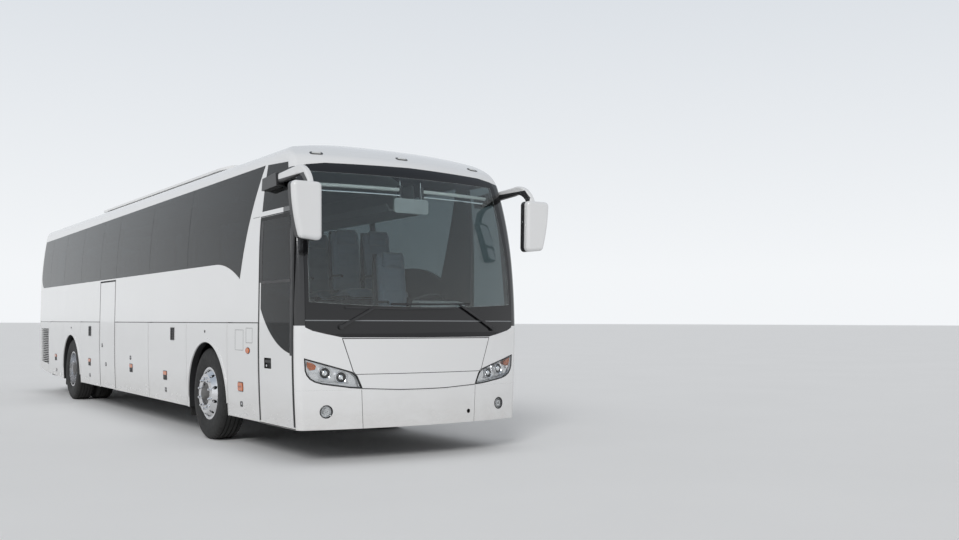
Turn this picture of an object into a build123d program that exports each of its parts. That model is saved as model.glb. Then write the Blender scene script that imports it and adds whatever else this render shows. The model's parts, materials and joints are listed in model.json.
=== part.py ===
from build123d import *
from math import asin, cos, radians, sin, sqrt
import os

# Touring coach, millimetres. Front faces -Y, +Z up, +X is the coach's left flank.
# The origin lies on the ground, midway along and across the whole coach.

# Body form
HALF_WIDTH = 1275
NOSE_Y = -6090
TAIL_Y = 6245
ROOF_Z = 3180
SKIRT_Z = 320
BELT_Z = 1320
SILL_Z = 1955
CANT_Z = ROOF_Z - 128
LOW_SIDE_RADIUS = 13442
HIGH_SIDE_RADIUS = 6280
NOSE_RADIUS = 4500
RAKE_Z = 1200
RAKE_RADIUS = 5200
CAP_Z = ROOF_Z - 280
CAP_MID_BACK = 289
CAP_END_BACK = 964
SHOULDER_RADIUS = 170
BROW_RADIUS = 350
NOSE_CORNER_RADIUS = 80
TAIL_CORNER_RADIUS = 150
TAIL_RAKE = 110
TAIL_BEND_Z = 1400

# Wall and panel thicknesses
WALL = 50
GLASS = 8
GLASS_BED = 0.5
SLIP = 0.3
FRAME_FACE = WALL - 15
FRAME_BACK = WALL + 25
LEAF = FRAME_FACE - SLIP
DOOR_LEAF = WALL - 5
BUMPER_WALL = WALL + 10
SEAM = 8
JOINT_LINE = 0.5
LAP = 25
GROOVE = 8

# Wheels and axles
FRONT_AXLE_Y = -3420
REAR_AXLE_Y = 3450
TYRE_RADIUS = 515
WHEEL_X = 1095
TWIN_PITCH = 330
KINGPIN_X = 915
ARCH_RADIUS = TYRE_RADIUS + 130
ARCH_Z = TYRE_RADIUS - 65
ARCH_LIP = 42
ARCH_PROUD = 12

# Deck levels
DECK_Z = 1280
DECK_THICK = 50
BAY_FLOOR_Z = 450
BAY_SHEET = 30
CAB_Z = 950
STEP_Z = 400

# Lengthways stations
WALL_FRONT_Y = -4990
WALL_REAR_Y = TAIL_Y - 185
DOOR_REAR_Y = -4997
DOOR_TOP_Z = 2375
DOOR_BOTTOM_Z = 330
MID_DOOR = (540, 1460)
MID_DOOR_TOP_Z = 1935
AISLE_FRONT_Y = -4200

DOOR_FRONT_Y = -5862
PILLAR_LEAN = 95e-6
DOOR_GLASS_MARGIN = 55
WINDOW_TOP_REAR = ROOF_Z - 318
WINDOW_TOP_FRONT = ROOF_Z - 248
PILLAR_WIDTH = 80
PANE_JOINT = 5
GLASS_RIM = 45

FLANK_RISE = 0.065

# Front door swing arm: post, elbow and tip in plan
DOOR_ARM_POST = (-1125, -5775)
DOOR_ARM_ELBOW = (-1015, -5610)
DOOR_ARM_TIP = (-1140, -5285)
DOOR_ARM_Z = (860, 1500)
DOOR_BAR = (1405, 1500)
DOOR_POST_TOP = 2090

NOSE_AXIS_Y = NOSE_Y + NOSE_RADIUS
GROUND_RUN = 500
FAR = TAIL_Y + 755


def half_width(z):
    """Half the body width at height z."""
    if z < BELT_Z:
        return HALF_WIDTH - (LOW_SIDE_RADIUS - sqrt(LOW_SIDE_RADIUS ** 2 - (BELT_Z - z) ** 2))
    if z < SILL_Z:
        return HALF_WIDTH
    return HALF_WIDTH - (HIGH_SIDE_RADIUS - sqrt(HIGH_SIDE_RADIUS ** 2 - (z - SILL_Z) ** 2))


def nose_radius(z):
    """Plan radius of the front face at height z, about the nose axis."""
    if z < RAKE_Z:
        return NOSE_RADIUS
    return NOSE_RADIUS - (RAKE_RADIUS - sqrt(RAKE_RADIUS ** 2 - (z - RAKE_Z) ** 2))


def nose_y(z, inset=0):
    return NOSE_AXIS_Y - nose_radius(z) + inset


def side_prism(points, near_x=-1500, far_x=1500):
    """Solid over a side outline of (y, z) points, from near_x to far_x."""
    with BuildPart() as prism:
        with BuildSketch(Plane.YZ.offset(near_x)):
            Polygon(*points, align=None)
        extrude(amount=far_x - near_x)
    return prism.part


def front_prism(points, near_y=-FAR, far_y=-4000):
    """Solid over a front outline of (x, z) points, from near_y to far_y."""
    with BuildPart() as prism:
        with BuildSketch(Plane.XZ.offset(-far_y)):
            Polygon(*points, align=None)
        extrude(amount=far_y - near_y)
    return prism.part


def block(x, y, z):
    """Box between two corners given as (low, high) pairs."""
    with BuildPart() as body:
        with BuildSketch(Plane.XY.offset(z[0])):
            with Locations(((x[0] + x[1]) / 2, (y[0] + y[1]) / 2)):
                Rectangle(x[1] - x[0], y[1] - y[0])
        extrude(amount=z[1] - z[0])
    return body.part


def cylinder_x(y, z, radius, x0, x1):
    with BuildPart() as body:
        with BuildSketch(Plane.YZ.offset(x0)):
            with Locations((y, z)):
                Circle(radius)
        extrude(amount=x1 - x0)
    return body.part


def section(inset, floor_z):
    """Cross-section face of the body, drawn in by inset, down to floor_z."""
    low = half_width(floor_z) - inset
    mid_z = (floor_z + BELT_Z) / 2
    mid = half_width(mid_z) - inset
    high_z = (SILL_Z + CANT_Z) / 2
    high = half_width(high_z) - inset
    full = HALF_WIDTH - inset
    cant_x = half_width(CANT_Z) - inset
    cant_z = CANT_Z - inset
    with BuildSketch(Plane.XZ) as face:
        with BuildLine():
            Line((-low, floor_z), (low, floor_z))
            ThreePointArc((low, floor_z), (mid, mid_z), (full, BELT_Z))
            Line((full, BELT_Z), (full, SILL_Z))
            ThreePointArc((full, SILL_Z), (high, high_z), (cant_x, cant_z))
            ThreePointArc((cant_x, cant_z), (0, ROOF_Z - inset), (-cant_x, cant_z))
            ThreePointArc((-cant_x, cant_z), (-high, high_z), (-full, SILL_Z))
            Line((-full, SILL_Z), (-full, BELT_Z))
            ThreePointArc((-full, BELT_Z), (-mid, mid_z), (-low, floor_z))
        outline = make_face()
        fillet(outline.vertices().sort_by(Axis.Y)[-2:], SHOULDER_RADIUS - inset)
    return face.sketch


def envelope(inset, floor_z):
    """Whole closed body form, drawn in from the outer skin by inset."""
    foot = (nose_y(0, inset), -GROUND_RUN)
    knee = (nose_y(RAKE_Z, inset), RAKE_Z)
    mid_z = (RAKE_Z + CAP_Z) / 2
    brow_turn = asin((CAP_Z - RAKE_Z) / RAKE_RADIUS)
    brow = (nose_y(CAP_Z) + inset * cos(brow_turn), CAP_Z - inset * sin(brow_turn))
    cap_y = nose_y(CAP_Z)
    cap_mid = (cap_y + CAP_MID_BACK + inset * sin(radians(30)), ROOF_Z - 120 - inset * cos(radians(30)))
    cap_end = (cap_y + CAP_END_BACK, ROOF_Z + 25 - inset)
    top = ROOF_Z + GROUND_RUN
    with BuildPart() as plan:
        with BuildSketch(Plane.YZ):
            with BuildLine():
                Line((NOSE_AXIS_Y, -GROUND_RUN), foot)
                Line(foot, knee)
                ThreePointArc(knee, (nose_y(mid_z, inset), mid_z), brow)
                ThreePointArc(brow, cap_mid, cap_end)
                Line(cap_end, (cap_end[0], top))
                Line((cap_end[0], top), (NOSE_AXIS_Y, top))
                Line((NOSE_AXIS_Y, top), (NOSE_AXIS_Y, -GROUND_RUN))
            make_face()
            brow_corner = vertices().sort_by_distance((brow[0], brow[1], 0))[0]
            fillet(brow_corner, BROW_RADIUS - inset)
        revolve(axis=Axis((0, NOSE_AXIS_Y, 0), (0, 0, 1)))
        with BuildSketch(Plane.YZ):
            tail_foot = (TAIL_Y - inset, -GROUND_RUN)
            tail_bend = (TAIL_Y - inset, TAIL_BEND_Z)
            tail_mid = (TAIL_Y - TAIL_RAKE / 4 - inset, (TAIL_BEND_Z + top) / 2)
            tail_top = (TAIL_Y - TAIL_RAKE - inset, top)
            with BuildLine():
                Line((NOSE_AXIS_Y, -GROUND_RUN), tail_foot)
                Line(tail_foot, tail_bend)
                ThreePointArc(tail_bend, tail_mid, tail_top)
                Line(tail_top, (NOSE_AXIS_Y, top))
                Line((NOSE_AXIS_Y, top), (NOSE_AXIS_Y, -GROUND_RUN))
            make_face()
        extrude(amount=HALF_WIDTH + GROUND_RUN, both=True)
    with BuildPart() as body:
        extrude(section(inset, floor_z), amount=FAR, dir=(0, 1, 0), both=True)
        add(plan.part, mode=Mode.INTERSECT)
        upright = [
            e for e in body.edges()
            if e.center().Y < NOSE_Y + 800 and abs(e.center().X) > 1000
            and floor_z + 20 < e.center().Z < CAP_Z + 80
        ]
        fillet(upright, max(NOSE_CORNER_RADIUS - inset, 10))
        tail = [
            e for e in body.edges()
            if e.center().Y > TAIL_Y - 200 and e.center().Z > floor_z + 20
            and not (abs(e.center().X) < 1 and e.center().Z < ROOF_Z - 200)
        ]
        fillet(tail, max(TAIL_CORNER_RADIUS - 2 * inset, 30))
    return body.part


def save(built, label):
    """Label a finished part and write it."""
    built.label = label
    export_step(built, f"parts/{label}.step")


os.makedirs("parts", exist_ok=True)

outer_skin = envelope(0, SKIRT_Z)
behind_glass = envelope(GLASS, 100)
glass_bed = envelope(GLASS + GLASS_BED, SKIRT_Z)
leaf_back = envelope(LEAF, 100)
frame_face = envelope(FRAME_FACE, SKIRT_Z + 15)
door_back = envelope(DOOR_LEAF, 100)
inner_skin = envelope(WALL, 100)
bumper_back = envelope(BUMPER_WALL, 100)
frame_back = envelope(FRAME_BACK, 100)
cabin_space = envelope(FRAME_BACK + SLIP, 100)
door_seat = envelope(DOOR_LEAF + SLIP, 100)
fitting_face = envelope(-SLIP, SKIRT_Z)
lip_face = envelope(-ARCH_PROUD, SKIRT_Z)


def skin_piece(region, outer, inner):
    """Part of the body skin inside a region, between two depths."""
    with BuildPart() as piece:
        add(region)
        add(outer, mode=Mode.INTERSECT)
        add(inner, mode=Mode.SUBTRACT)
    return piece.part


def window_top(y):
    """Height of the top edge of the side glass, which rises towards the front."""
    forward = (WALL_REAR_Y - y) / (WALL_REAR_Y - WALL_FRONT_Y)
    return WINDOW_TOP_REAR + (WINDOW_TOP_FRONT - WINDOW_TOP_REAR) * forward


def side_window(inset, near_x, far_x, pillars=(), pillar_width=PILLAR_WIDTH):
    """Main side glass outline, drawn in by inset and broken by the pillars."""
    with BuildPart() as prism:
        with BuildSketch(Plane.YZ.offset(near_x)):
            with BuildLine():
                front_top = (WALL_FRONT_Y + 35, window_top(WALL_FRONT_Y) - 15)
                front_low = (-4470, 1770)
                rear_low = (WALL_REAR_Y - 250, SILL_Z)
                rear_mid = (WALL_REAR_Y - 22, 2190)
                rear_top = (WALL_REAR_Y - 40, window_top(WALL_REAR_Y) - 15)
                ThreePointArc(rear_low, (WALL_REAR_Y - 90, 2030), rear_mid)
                Line(rear_mid, rear_top)
                Line(rear_top, front_top)
                ThreePointArc(front_top, (-4700, 2370), front_low)
                ThreePointArc(front_low, (-4120, 1905), (-3700, SILL_Z))
                Line((-3700, SILL_Z), rear_low)
            make_face()
            if inset:
                offset(amount=-inset, kind=Kind.INTERSECTION, mode=Mode.REPLACE)
            pillar_low, pillar_high = SILL_Z - 255, ROOF_Z - 80
            for pillar_y in pillars:
                with Locations((pillar_y, (pillar_low + pillar_high) / 2)):
                    Rectangle(pillar_width, pillar_high - pillar_low, mode=Mode.SUBTRACT)
        extrude(amount=far_x - near_x)
    return prism.part


def cab_window(inset, near_x, far_x, low_z):
    """Glass of the front door or of the driver's window, whose lower edge sweeps down to the nose."""
    with BuildPart() as prism:
        with BuildSketch(Plane.YZ.offset(near_x)):
            with BuildLine():
                corner = (DOOR_REAR_Y - DOOR_GLASS_MARGIN, 1455)
                nose_low = (-5835, 1022)
                Line(corner, (corner[0], low_z))
                Line((corner[0], low_z), (pillar_edge(low_z) + 22, low_z))
                Line((pillar_edge(low_z) + 22, low_z), (pillar_edge(RAKE_Z) + 22, RAKE_Z))
                Line((pillar_edge(RAKE_Z) + 22, RAKE_Z), nose_low)
                ThreePointArc(nose_low, (-5420, 1145), corner)
            make_face()
            if inset:
                offset(amount=-inset, kind=Kind.INTERSECTION, mode=Mode.REPLACE)
        extrude(amount=far_x - near_x)
    return prism.part


def pillar_edge(z):
    """Lengthways place of the windscreen pillar's rear edge at height z."""
    if z < 1300:
        return DOOR_FRONT_Y
    return DOOR_FRONT_Y + PILLAR_LEAN * (z - 1300) ** 2


def door_outline(grow, top_z=DOOR_TOP_Z):
    """Outline of the front door leaf, grown by grow on every side."""
    return [
        (DOOR_REAR_Y + grow, DOOR_BOTTOM_Z - grow),
        (DOOR_REAR_Y + grow, top_z + grow),
        (pillar_edge(top_z) - grow, top_z + grow),
        (pillar_edge((top_z + 1300) / 2) - grow, (top_z + 1300) / 2),
        (pillar_edge(1300) - grow, 1300),
        (DOOR_FRONT_Y - grow + 6, DOOR_BOTTOM_Z - grow),
    ]


# Flank stations: name, flank (-1 right, +1 left), front and rear edge along Y
FLAPS = (
    ("right_service_flap", -1, -4985, -4115),
    ("right_luggage_flap_front", -1, -2735, -1165),
    ("right_luggage_flap_rear", -1, -1155, 505),
    ("right_battery_flap", -1, 1495, 2755),
    ("right_engine_flap", -1, 4065, 5225),
    ("left_luggage_flap_front", 1, -2735, -1165),
    ("left_luggage_flap_middle", 1, -1155, 795),
    ("left_luggage_flap_rear", 1, 805, 2755),
)
PILLARS = (-2740, -1160, 520, 1480, 2760, 4060, 5230)
FRAME_LAP = 45
BELT_SEAM = 10
DOOR_GAP = 14
ARCHES = ((FRONT_AXLE_Y - 30, -4110, -2740), (REAR_AXLE_Y - 35, 2760, 4060))
GRILLE = ((5275, 505), (6020, 550), (6020, 1215), (5275, 1215))


def arch_lip(arch_y, front_y, rear_y, near_x, far_x):
    """Raised lip over a wheel opening, clear of the seams beside it."""
    with BuildPart() as ring:
        add(cylinder_x(arch_y, ARCH_Z, ARCH_RADIUS + ARCH_LIP, near_x, far_x))
        add(block((near_x, far_x), (front_y + 4, rear_y - 4), (ARCH_Z, BELT_Z)), mode=Mode.INTERSECT)
    return skin_piece(ring.part, lip_face, frame_face)


def flank(side):
    """Side wall: window band with its pillars, belt panel, flap frames and arch panels."""
    near_x, far_x = (-1500, -600) if side < 0 else (600, 1500)
    flaps = [f for f in FLAPS if f[1] == side]
    upper = side_prism(
        [
            (WALL_FRONT_Y, BELT_Z),
            (WALL_REAR_Y, BELT_Z),
            (WALL_REAR_Y, window_top(WALL_REAR_Y)),
            (WALL_FRONT_Y, window_top(WALL_FRONT_Y)),
        ],
        near_x,
        far_x,
    )
    lower = side_prism(
        [(WALL_FRONT_Y, SKIRT_Z), (4500, SKIRT_Z), (5700, 391), (WALL_REAR_Y, 445),
         (WALL_REAR_Y, BELT_Z), (WALL_FRONT_Y, BELT_Z)],
        near_x,
        far_x,
    )
    bed = skin_piece(side_window(0, near_x, far_x), glass_bed, inner_skin)
    with BuildPart() as wall:
        add(skin_piece(upper, outer_skin, inner_skin))
        add(side_window(0, near_x, far_x), mode=Mode.SUBTRACT)
        add(bed)
        add(side_window(GLASS_RIM, near_x, far_x, PILLARS), mode=Mode.SUBTRACT)
        add(skin_piece(lower, outer_skin, frame_back))
        for name, flap_side, front_y, rear_y in flaps:
            recess = side_prism(
                [(front_y - SEAM / 2, 0), (rear_y + SEAM / 2, 0),
                 (rear_y + SEAM / 2, BELT_Z), (front_y - SEAM / 2, BELT_Z)],
                near_x,
                far_x,
            )
            frame = skin_piece(recess, frame_face, frame_back)
            add(recess, mode=Mode.SUBTRACT)
            add(frame)
            add(
                side_prism(
                    [(front_y + FRAME_LAP, SKIRT_Z + 90), (rear_y - FRAME_LAP, SKIRT_Z + 90),
                     (rear_y - FRAME_LAP, BELT_Z - 60), (front_y + FRAME_LAP, BELT_Z - 60)],
                    near_x,
                    far_x,
                ),
                mode=Mode.SUBTRACT,
            )
        belt = block((near_x, far_x), (WALL_FRONT_Y, WALL_REAR_Y), (BELT_Z - BELT_SEAM, BELT_Z))
        add(skin_piece(belt, outer_skin, behind_glass), mode=Mode.SUBTRACT)
        for arch_y, front_y, rear_y in ARCHES:
            add(arch_lip(arch_y, front_y, rear_y, near_x, far_x))
            opening_y = (arch_y - ARCH_RADIUS, arch_y + ARCH_RADIUS)
            add(cylinder_x(arch_y, ARCH_Z, ARCH_RADIUS, near_x, far_x), mode=Mode.SUBTRACT)
            add(block((near_x, far_x), opening_y, (0, ARCH_Z)), mode=Mode.SUBTRACT)
        if side < 0:
            doorway = block((near_x, far_x), MID_DOOR, (0, MID_DOOR_TOP_Z))
            add(skin_piece(doorway, outer_skin, door_seat), mode=Mode.SUBTRACT)
            lap = LAP + DOOR_GAP
            inner_y = (MID_DOOR[0] + lap, MID_DOOR[1] - lap)
            add(block((near_x, far_x), inner_y, (0, MID_DOOR_TOP_Z - lap)), mode=Mode.SUBTRACT)
            add(side_prism(GRILLE, near_x, far_x), mode=Mode.SUBTRACT)
    return wall.part


with BuildPart() as right_wall:
    add(flank(-1))
save(right_wall.part, "right_wall")

with BuildPart() as left_wall:
    add(flank(1))
save(left_wall.part, "left_wall")

for name, side, front_y, rear_y in FLAPS:
    with BuildPart() as flap:
        low_front = SKIRT_Z + 5 + max(0, front_y - 4500) * FLANK_RISE
        low_rear = SKIRT_Z + 5 + max(0, rear_y - 4500) * FLANK_RISE
        region = side_prism(
            [(front_y + SEAM / 2, low_front), (rear_y - SEAM / 2, low_rear),
             (rear_y - SEAM / 2, BELT_Z - BELT_SEAM), (front_y + SEAM / 2, BELT_Z - BELT_SEAM)],
            min(side * 600, side * 1500),
            max(side * 600, side * 1500),
        )
        add(skin_piece(region, outer_skin, leaf_back))
    save(flap.part, name)

ROOF_HATCH_Y = (-4300, 4200)
with BuildPart() as roof:
    roof_region = side_prism(
        [(WALL_FRONT_Y, window_top(WALL_FRONT_Y)), (WALL_REAR_Y, window_top(WALL_REAR_Y)),
         (WALL_REAR_Y, ROOF_Z + 220), (WALL_FRONT_Y, ROOF_Z + 220)]
    )
    add(skin_piece(roof_region, outer_skin, inner_skin))
    with BuildSketch(Plane.XY.offset(ROOF_Z - 30)):
        with Locations(*[(0, y) for y in ROOF_HATCH_Y]):
            RectangleRounded(700, 600, 60)
    extrude(amount=62, taper=20)
save(roof.part, "roof")

# Front: windscreen outline, headlamp and service flap outlines as (x, z)
WINDSCREEN = (
    (0, 1177), (845, 1180), (1005, 1214), (1120, 1242), (1188, 1275), (1190, 1500), (1188, SILL_Z),
    (1160, 2400), (1122, CAP_Z - 140), (1085, CAP_Z - 52), (900, CAP_Z - 24), (0, CAP_Z - 5),
)
HEADLAMP = (
    (1192, 985), (1050, 943), (950, 914), (860, 888), (742, 852), (697, 806), (672, 749), (652, 697),
    (764, 706), (860, 720), (953, 733), (1028, 745), (1095, 765), (1140, 792), (1168, 828), (1184, 870),
)
FRONT_FLAP = ((0, 678), (250, 680), (640, 700), (663, 752), (690, 812), (730, 860), (836, 1166), (0, 1166))
BUMPER_TOP = ((1400, 686), (650, 686), (250, 664), (0, 660))
BUMPER_SIDE_Y = -5875
TOW_SOCKET = (560, 430)
TOW_SOCKET_RADIUS = 22
TOW_SOCKET_DEPTH = 60
LAMP_GAP = JOINT_LINE
LAMP_WALL = 4
FOG_LAMP = (985, 487.5)
FOG_RADIUS = 62
FLAP_GROOVE = (828, 834)
BUMPER_GROOVE = ((648, 700), (653, 700), (634, 300), (629, 300))


def both_sides(half):
    """Close a half outline given for +X into a whole one."""
    return list(half) + [(-x, z) for x, z in reversed(half) if x > 0]


def grown(points, amount, near_y=-FAR, far_y=-5400):
    """Front prism over an outline grown by amount."""
    with BuildPart() as prism:
        with BuildSketch(Plane.XZ.offset(-far_y)):
            Polygon(*points, align=None)
            if amount:
                offset(amount=amount, kind=Kind.INTERSECTION, mode=Mode.REPLACE)
        extrude(amount=far_y - near_y)
    return prism.part


windscreen_outline = both_sides(WINDSCREEN)
flap_outline = both_sides(FRONT_FLAP)
right_lamp_outline = [(-x, z) for x, z in HEADLAMP]
bumper_outline = both_sides(BUMPER_TOP) + [(-1400, 200), (1400, 200)]


def fog_prism(radius):
    """Both round fog lamp openings, carried through the bumper."""
    with BuildPart() as prism:
        with BuildSketch(Plane.XZ.offset(-NOSE_AXIS_Y)):
            with Locations(FOG_LAMP, (-FOG_LAMP[0], FOG_LAMP[1])):
                Circle(radius)
        extrude(amount=NOSE_RADIUS + 100)
    return prism.part


def lamp(prism, core):
    """Lamp let into the skin: a flush lens in front of an open housing as deep as the wall."""
    with BuildPart() as unit:
        add(skin_piece(prism, glass_bed, inner_skin))
        add(skin_piece(core, glass_bed, door_back), mode=Mode.SUBTRACT)
        add(skin_piece(prism, outer_skin, behind_glass))
    return unit.part

with BuildPart() as windscreen:
    add(skin_piece(grown(windscreen_outline, -3), outer_skin, behind_glass))
save(windscreen.part, "windscreen")

with BuildPart() as front_shell:
    front_y = (-FAR, WALL_FRONT_Y - JOINT_LINE)
    add(skin_piece(block((-1500, 1500), front_y, (SKIRT_Z, ROOF_Z + 220)), outer_skin, inner_skin))
    add(grown(windscreen_outline, 0), mode=Mode.SUBTRACT)
    add(skin_piece(grown(windscreen_outline, 0), glass_bed, inner_skin))
    add(grown(windscreen_outline, -GLASS_RIM), mode=Mode.SUBTRACT)
    add(grown(bumper_outline, JOINT_LINE, far_y=BUMPER_SIDE_Y + JOINT_LINE), mode=Mode.SUBTRACT)
    add(skin_piece(grown(flap_outline, SEAM), outer_skin, frame_face), mode=Mode.SUBTRACT)
    add(grown(flap_outline, -LAP), mode=Mode.SUBTRACT)
    add(grown(HEADLAMP, LAMP_GAP), mode=Mode.SUBTRACT)
    add(grown(right_lamp_outline, LAMP_GAP), mode=Mode.SUBTRACT)
    add(side_prism(door_outline(SEAM), -1500, -1000), mode=Mode.SUBTRACT)
    quarter = [
        (WALL_FRONT_Y - 30, DOOR_TOP_Z + 55), (pillar_edge(DOOR_TOP_Z + 55) + 15, DOOR_TOP_Z + 55),
        (-5535, CAP_Z - 20), (WALL_FRONT_Y - 30, window_top(WALL_FRONT_Y) - 20),
    ]
    add(side_prism(quarter, -1500, -1000), mode=Mode.SUBTRACT)
    driver_window = cab_window(0, 1000, 1500, CAP_Z - 20)
    add(driver_window, mode=Mode.SUBTRACT)
    add(skin_piece(driver_window, glass_bed, inner_skin))
    add(cab_window(GLASS_RIM, 1000, 1500, CAP_Z - 20), mode=Mode.SUBTRACT)
save(front_shell.part, "front_shell")

with BuildPart() as front_flap:
    add(skin_piece(grown(flap_outline, 0), outer_skin, leaf_back))
    groove = block((-HALF_WIDTH, HALF_WIDTH), (-FAR, NOSE_AXIS_Y), FLAP_GROOVE)
    add(skin_piece(groove, outer_skin, behind_glass), mode=Mode.SUBTRACT)
save(front_flap.part, "front_flap")

with BuildPart() as front_bumper:
    add(skin_piece(front_prism(bumper_outline, far_y=BUMPER_SIDE_Y), outer_skin, bumper_back))
    add(fog_prism(FOG_RADIUS), mode=Mode.SUBTRACT)
    for side in (-1, 1):
        groove = front_prism([(side * x, z) for x, z in BUMPER_GROOVE])
        add(skin_piece(groove, outer_skin, behind_glass), mode=Mode.SUBTRACT)
    socket_y = NOSE_AXIS_Y - sqrt(NOSE_RADIUS ** 2 - TOW_SOCKET[0] ** 2)
    with BuildSketch(Plane.XZ.offset(-socket_y - TOW_SOCKET_DEPTH - 15)):
        with Locations(TOW_SOCKET):
            Circle(TOW_SOCKET_RADIUS + 22)
    extrude(amount=TOW_SOCKET_DEPTH + 10)
    with BuildSketch(Plane.XZ.offset(-socket_y - TOW_SOCKET_DEPTH)):
        with Locations(TOW_SOCKET):
            Circle(TOW_SOCKET_RADIUS)
    extrude(amount=TOW_SOCKET_DEPTH + 20, mode=Mode.SUBTRACT)
save(front_bumper.part, "front_bumper")

with BuildPart() as front_lamps:
    for outline in (HEADLAMP, right_lamp_outline):
        add(lamp(grown(outline, 0), grown(outline, -LAMP_WALL)))
    add(skin_piece(fog_prism(FOG_RADIUS - JOINT_LINE), behind_glass, bumper_back))
save(front_lamps.part, "front_lamps")

with BuildPart() as side_glass:
    for near_x, far_x in ((-1500, -600), (600, 1500)):
        add(skin_piece(side_window(3, near_x, far_x, PILLARS, PANE_JOINT), outer_skin, behind_glass))
    add(skin_piece(side_prism(quarter, -1500, -1000), outer_skin, behind_glass))
    add(skin_piece(cab_window(3, 1000, 1500, CAP_Z - 20), outer_skin, behind_glass))
save(side_glass.part, "side_glass")

# Doors
DOOR_HANDLE = ((-5330, -5150), (868, 972))
with BuildPart() as front_door:
    add(skin_piece(side_prism(door_outline(0), -1500, -1000), outer_skin, door_back))
    add(cab_window(0, -1500, -1000, DOOR_TOP_Z - 40), mode=Mode.SUBTRACT)
    add(skin_piece(cab_window(0, -1500, -1000, DOOR_TOP_Z - 40), glass_bed, door_back))
    add(cab_window(GLASS_RIM, -1500, -1000, DOOR_TOP_Z - 40), mode=Mode.SUBTRACT)
    bar = block((-1500, -1000), (DOOR_FRONT_Y + 40, DOOR_REAR_Y - 70), DOOR_BAR)
    add(skin_piece(bar, glass_bed, door_back))
    add(skin_piece(block((-1500, -1000), *DOOR_HANDLE), outer_skin, leaf_back), mode=Mode.SUBTRACT)
    for arm_z in DOOR_ARM_Z:
        add(block((-half_width(arm_z) + DOOR_LEAF - 4, DOOR_ARM_TIP[0] + 45),
                  (DOOR_ARM_TIP[1] - 40, DOOR_ARM_TIP[1] + 40), (arm_z - 45, arm_z - SLIP)))
save(front_door.part, "front_door")

with BuildPart() as front_door_glass:
    add(skin_piece(cab_window(3, -1500, -1000, DOOR_TOP_Z - 40), outer_skin, behind_glass))
save(front_door_glass.part, "front_door_glass")

with BuildPart() as front_door_arm:
    for arm_z in DOOR_ARM_Z:
        with BuildSketch(Plane.XY.offset(arm_z)):
            with BuildLine():
                path = Polyline(DOOR_ARM_POST, DOOR_ARM_ELBOW, DOOR_ARM_TIP)
            trace(line_width=45)
            with Locations(DOOR_ARM_TIP, DOOR_ARM_POST):
                Circle(32)
        extrude(amount=30)
    with BuildSketch(Plane.XY.offset(STEP_Z + SLIP)):
        with Locations(DOOR_ARM_POST):
            Circle(25)
    extrude(amount=DOOR_POST_TOP - STEP_Z - SLIP)
save(front_door_arm.part, "front_door_arm")

with BuildPart() as mid_door:
    leaf_y = (MID_DOOR[0] + DOOR_GAP, MID_DOOR[1] - DOOR_GAP)
    add(skin_piece(block((-1500, -600), leaf_y, (SKIRT_Z + 8, MID_DOOR_TOP_Z - 12)), outer_skin, door_back))
save(mid_door.part, "mid_door")

# Rear: window, engine door, lamps and bumper as (x, z)
REAR_WINDOW = ((0, 2070), (960, 2070), (1010, 2110), (985, 2780), (940, 2815), (0, 2840))
ENGINE_DOOR = ((0, 700), (1010, 700), (1035, 730), (1035, 1860), (1005, 1890), (0, 1890))
TAIL_LAMP = ((1105, 780), (1205, 780), (1205, 1420), (1105, 1420))
REAR_SKIRT_Z = 470
REAR_BUMPER_TOP = 680
ENGINE_SLOTS = 8
ENGINE_SLOT_Z = 1430
ENGINE_SLOT_PITCH = 48


def rear_prism(points, amount=0):
    """Rear prism over an outline grown by amount."""
    with BuildPart() as prism:
        with BuildSketch(Plane.XZ.offset(-TAIL_Y - 500)):
            Polygon(*points, align=None)
            if amount:
                offset(amount=amount, kind=Kind.INTERSECTION, mode=Mode.REPLACE)
        extrude(amount=850)
    return prism.part


rear_window_outline = both_sides(REAR_WINDOW)
engine_outline = both_sides(ENGINE_DOOR)
tail_outlines = [[(side * x, z) for x, z in TAIL_LAMP] for side in (-1, 1)]

with BuildPart() as rear_shell:
    rear_y = (WALL_REAR_Y + JOINT_LINE, TAIL_Y + 500)
    region = block((-1500, 1500), rear_y, (REAR_BUMPER_TOP + JOINT_LINE, ROOF_Z + 220))
    add(skin_piece(region, outer_skin, inner_skin))
    add(rear_prism(rear_window_outline), mode=Mode.SUBTRACT)
    add(skin_piece(rear_prism(rear_window_outline), glass_bed, inner_skin))
    add(rear_prism(rear_window_outline, -GLASS_RIM), mode=Mode.SUBTRACT)
    add(skin_piece(rear_prism(engine_outline, SEAM), outer_skin, frame_face), mode=Mode.SUBTRACT)
    add(rear_prism(engine_outline, -LAP), mode=Mode.SUBTRACT)
    for outline in tail_outlines:
        add(rear_prism(outline, LAMP_GAP), mode=Mode.SUBTRACT)
save(rear_shell.part, "rear_shell")

with BuildPart() as rear_window:
    add(skin_piece(rear_prism(rear_window_outline, -3), outer_skin, behind_glass))
save(rear_window.part, "rear_window")

with BuildPart() as engine_door:
    add(skin_piece(rear_prism(engine_outline), outer_skin, leaf_back))
    for side in (-1, 1):
        for row in range(ENGINE_SLOTS):
            z = ENGINE_SLOT_Z + ENGINE_SLOT_PITCH * row
            slot = block((side * 590 - 260, side * 590 + 260), (TAIL_Y - 300, TAIL_Y + 50), (z, z + 20))
            add(slot, mode=Mode.SUBTRACT)
    plate = block((-270, 270), (TAIL_Y - 300, TAIL_Y + 50), (905, 1035))
    add(skin_piece(plate, outer_skin, behind_glass), mode=Mode.SUBTRACT)
save(engine_door.part, "engine_door")

with BuildPart() as tail_lamps:
    for outline in tail_outlines:
        add(lamp(rear_prism(outline), rear_prism(outline, -LAMP_WALL)))
save(tail_lamps.part, "tail_lamps")

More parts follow.
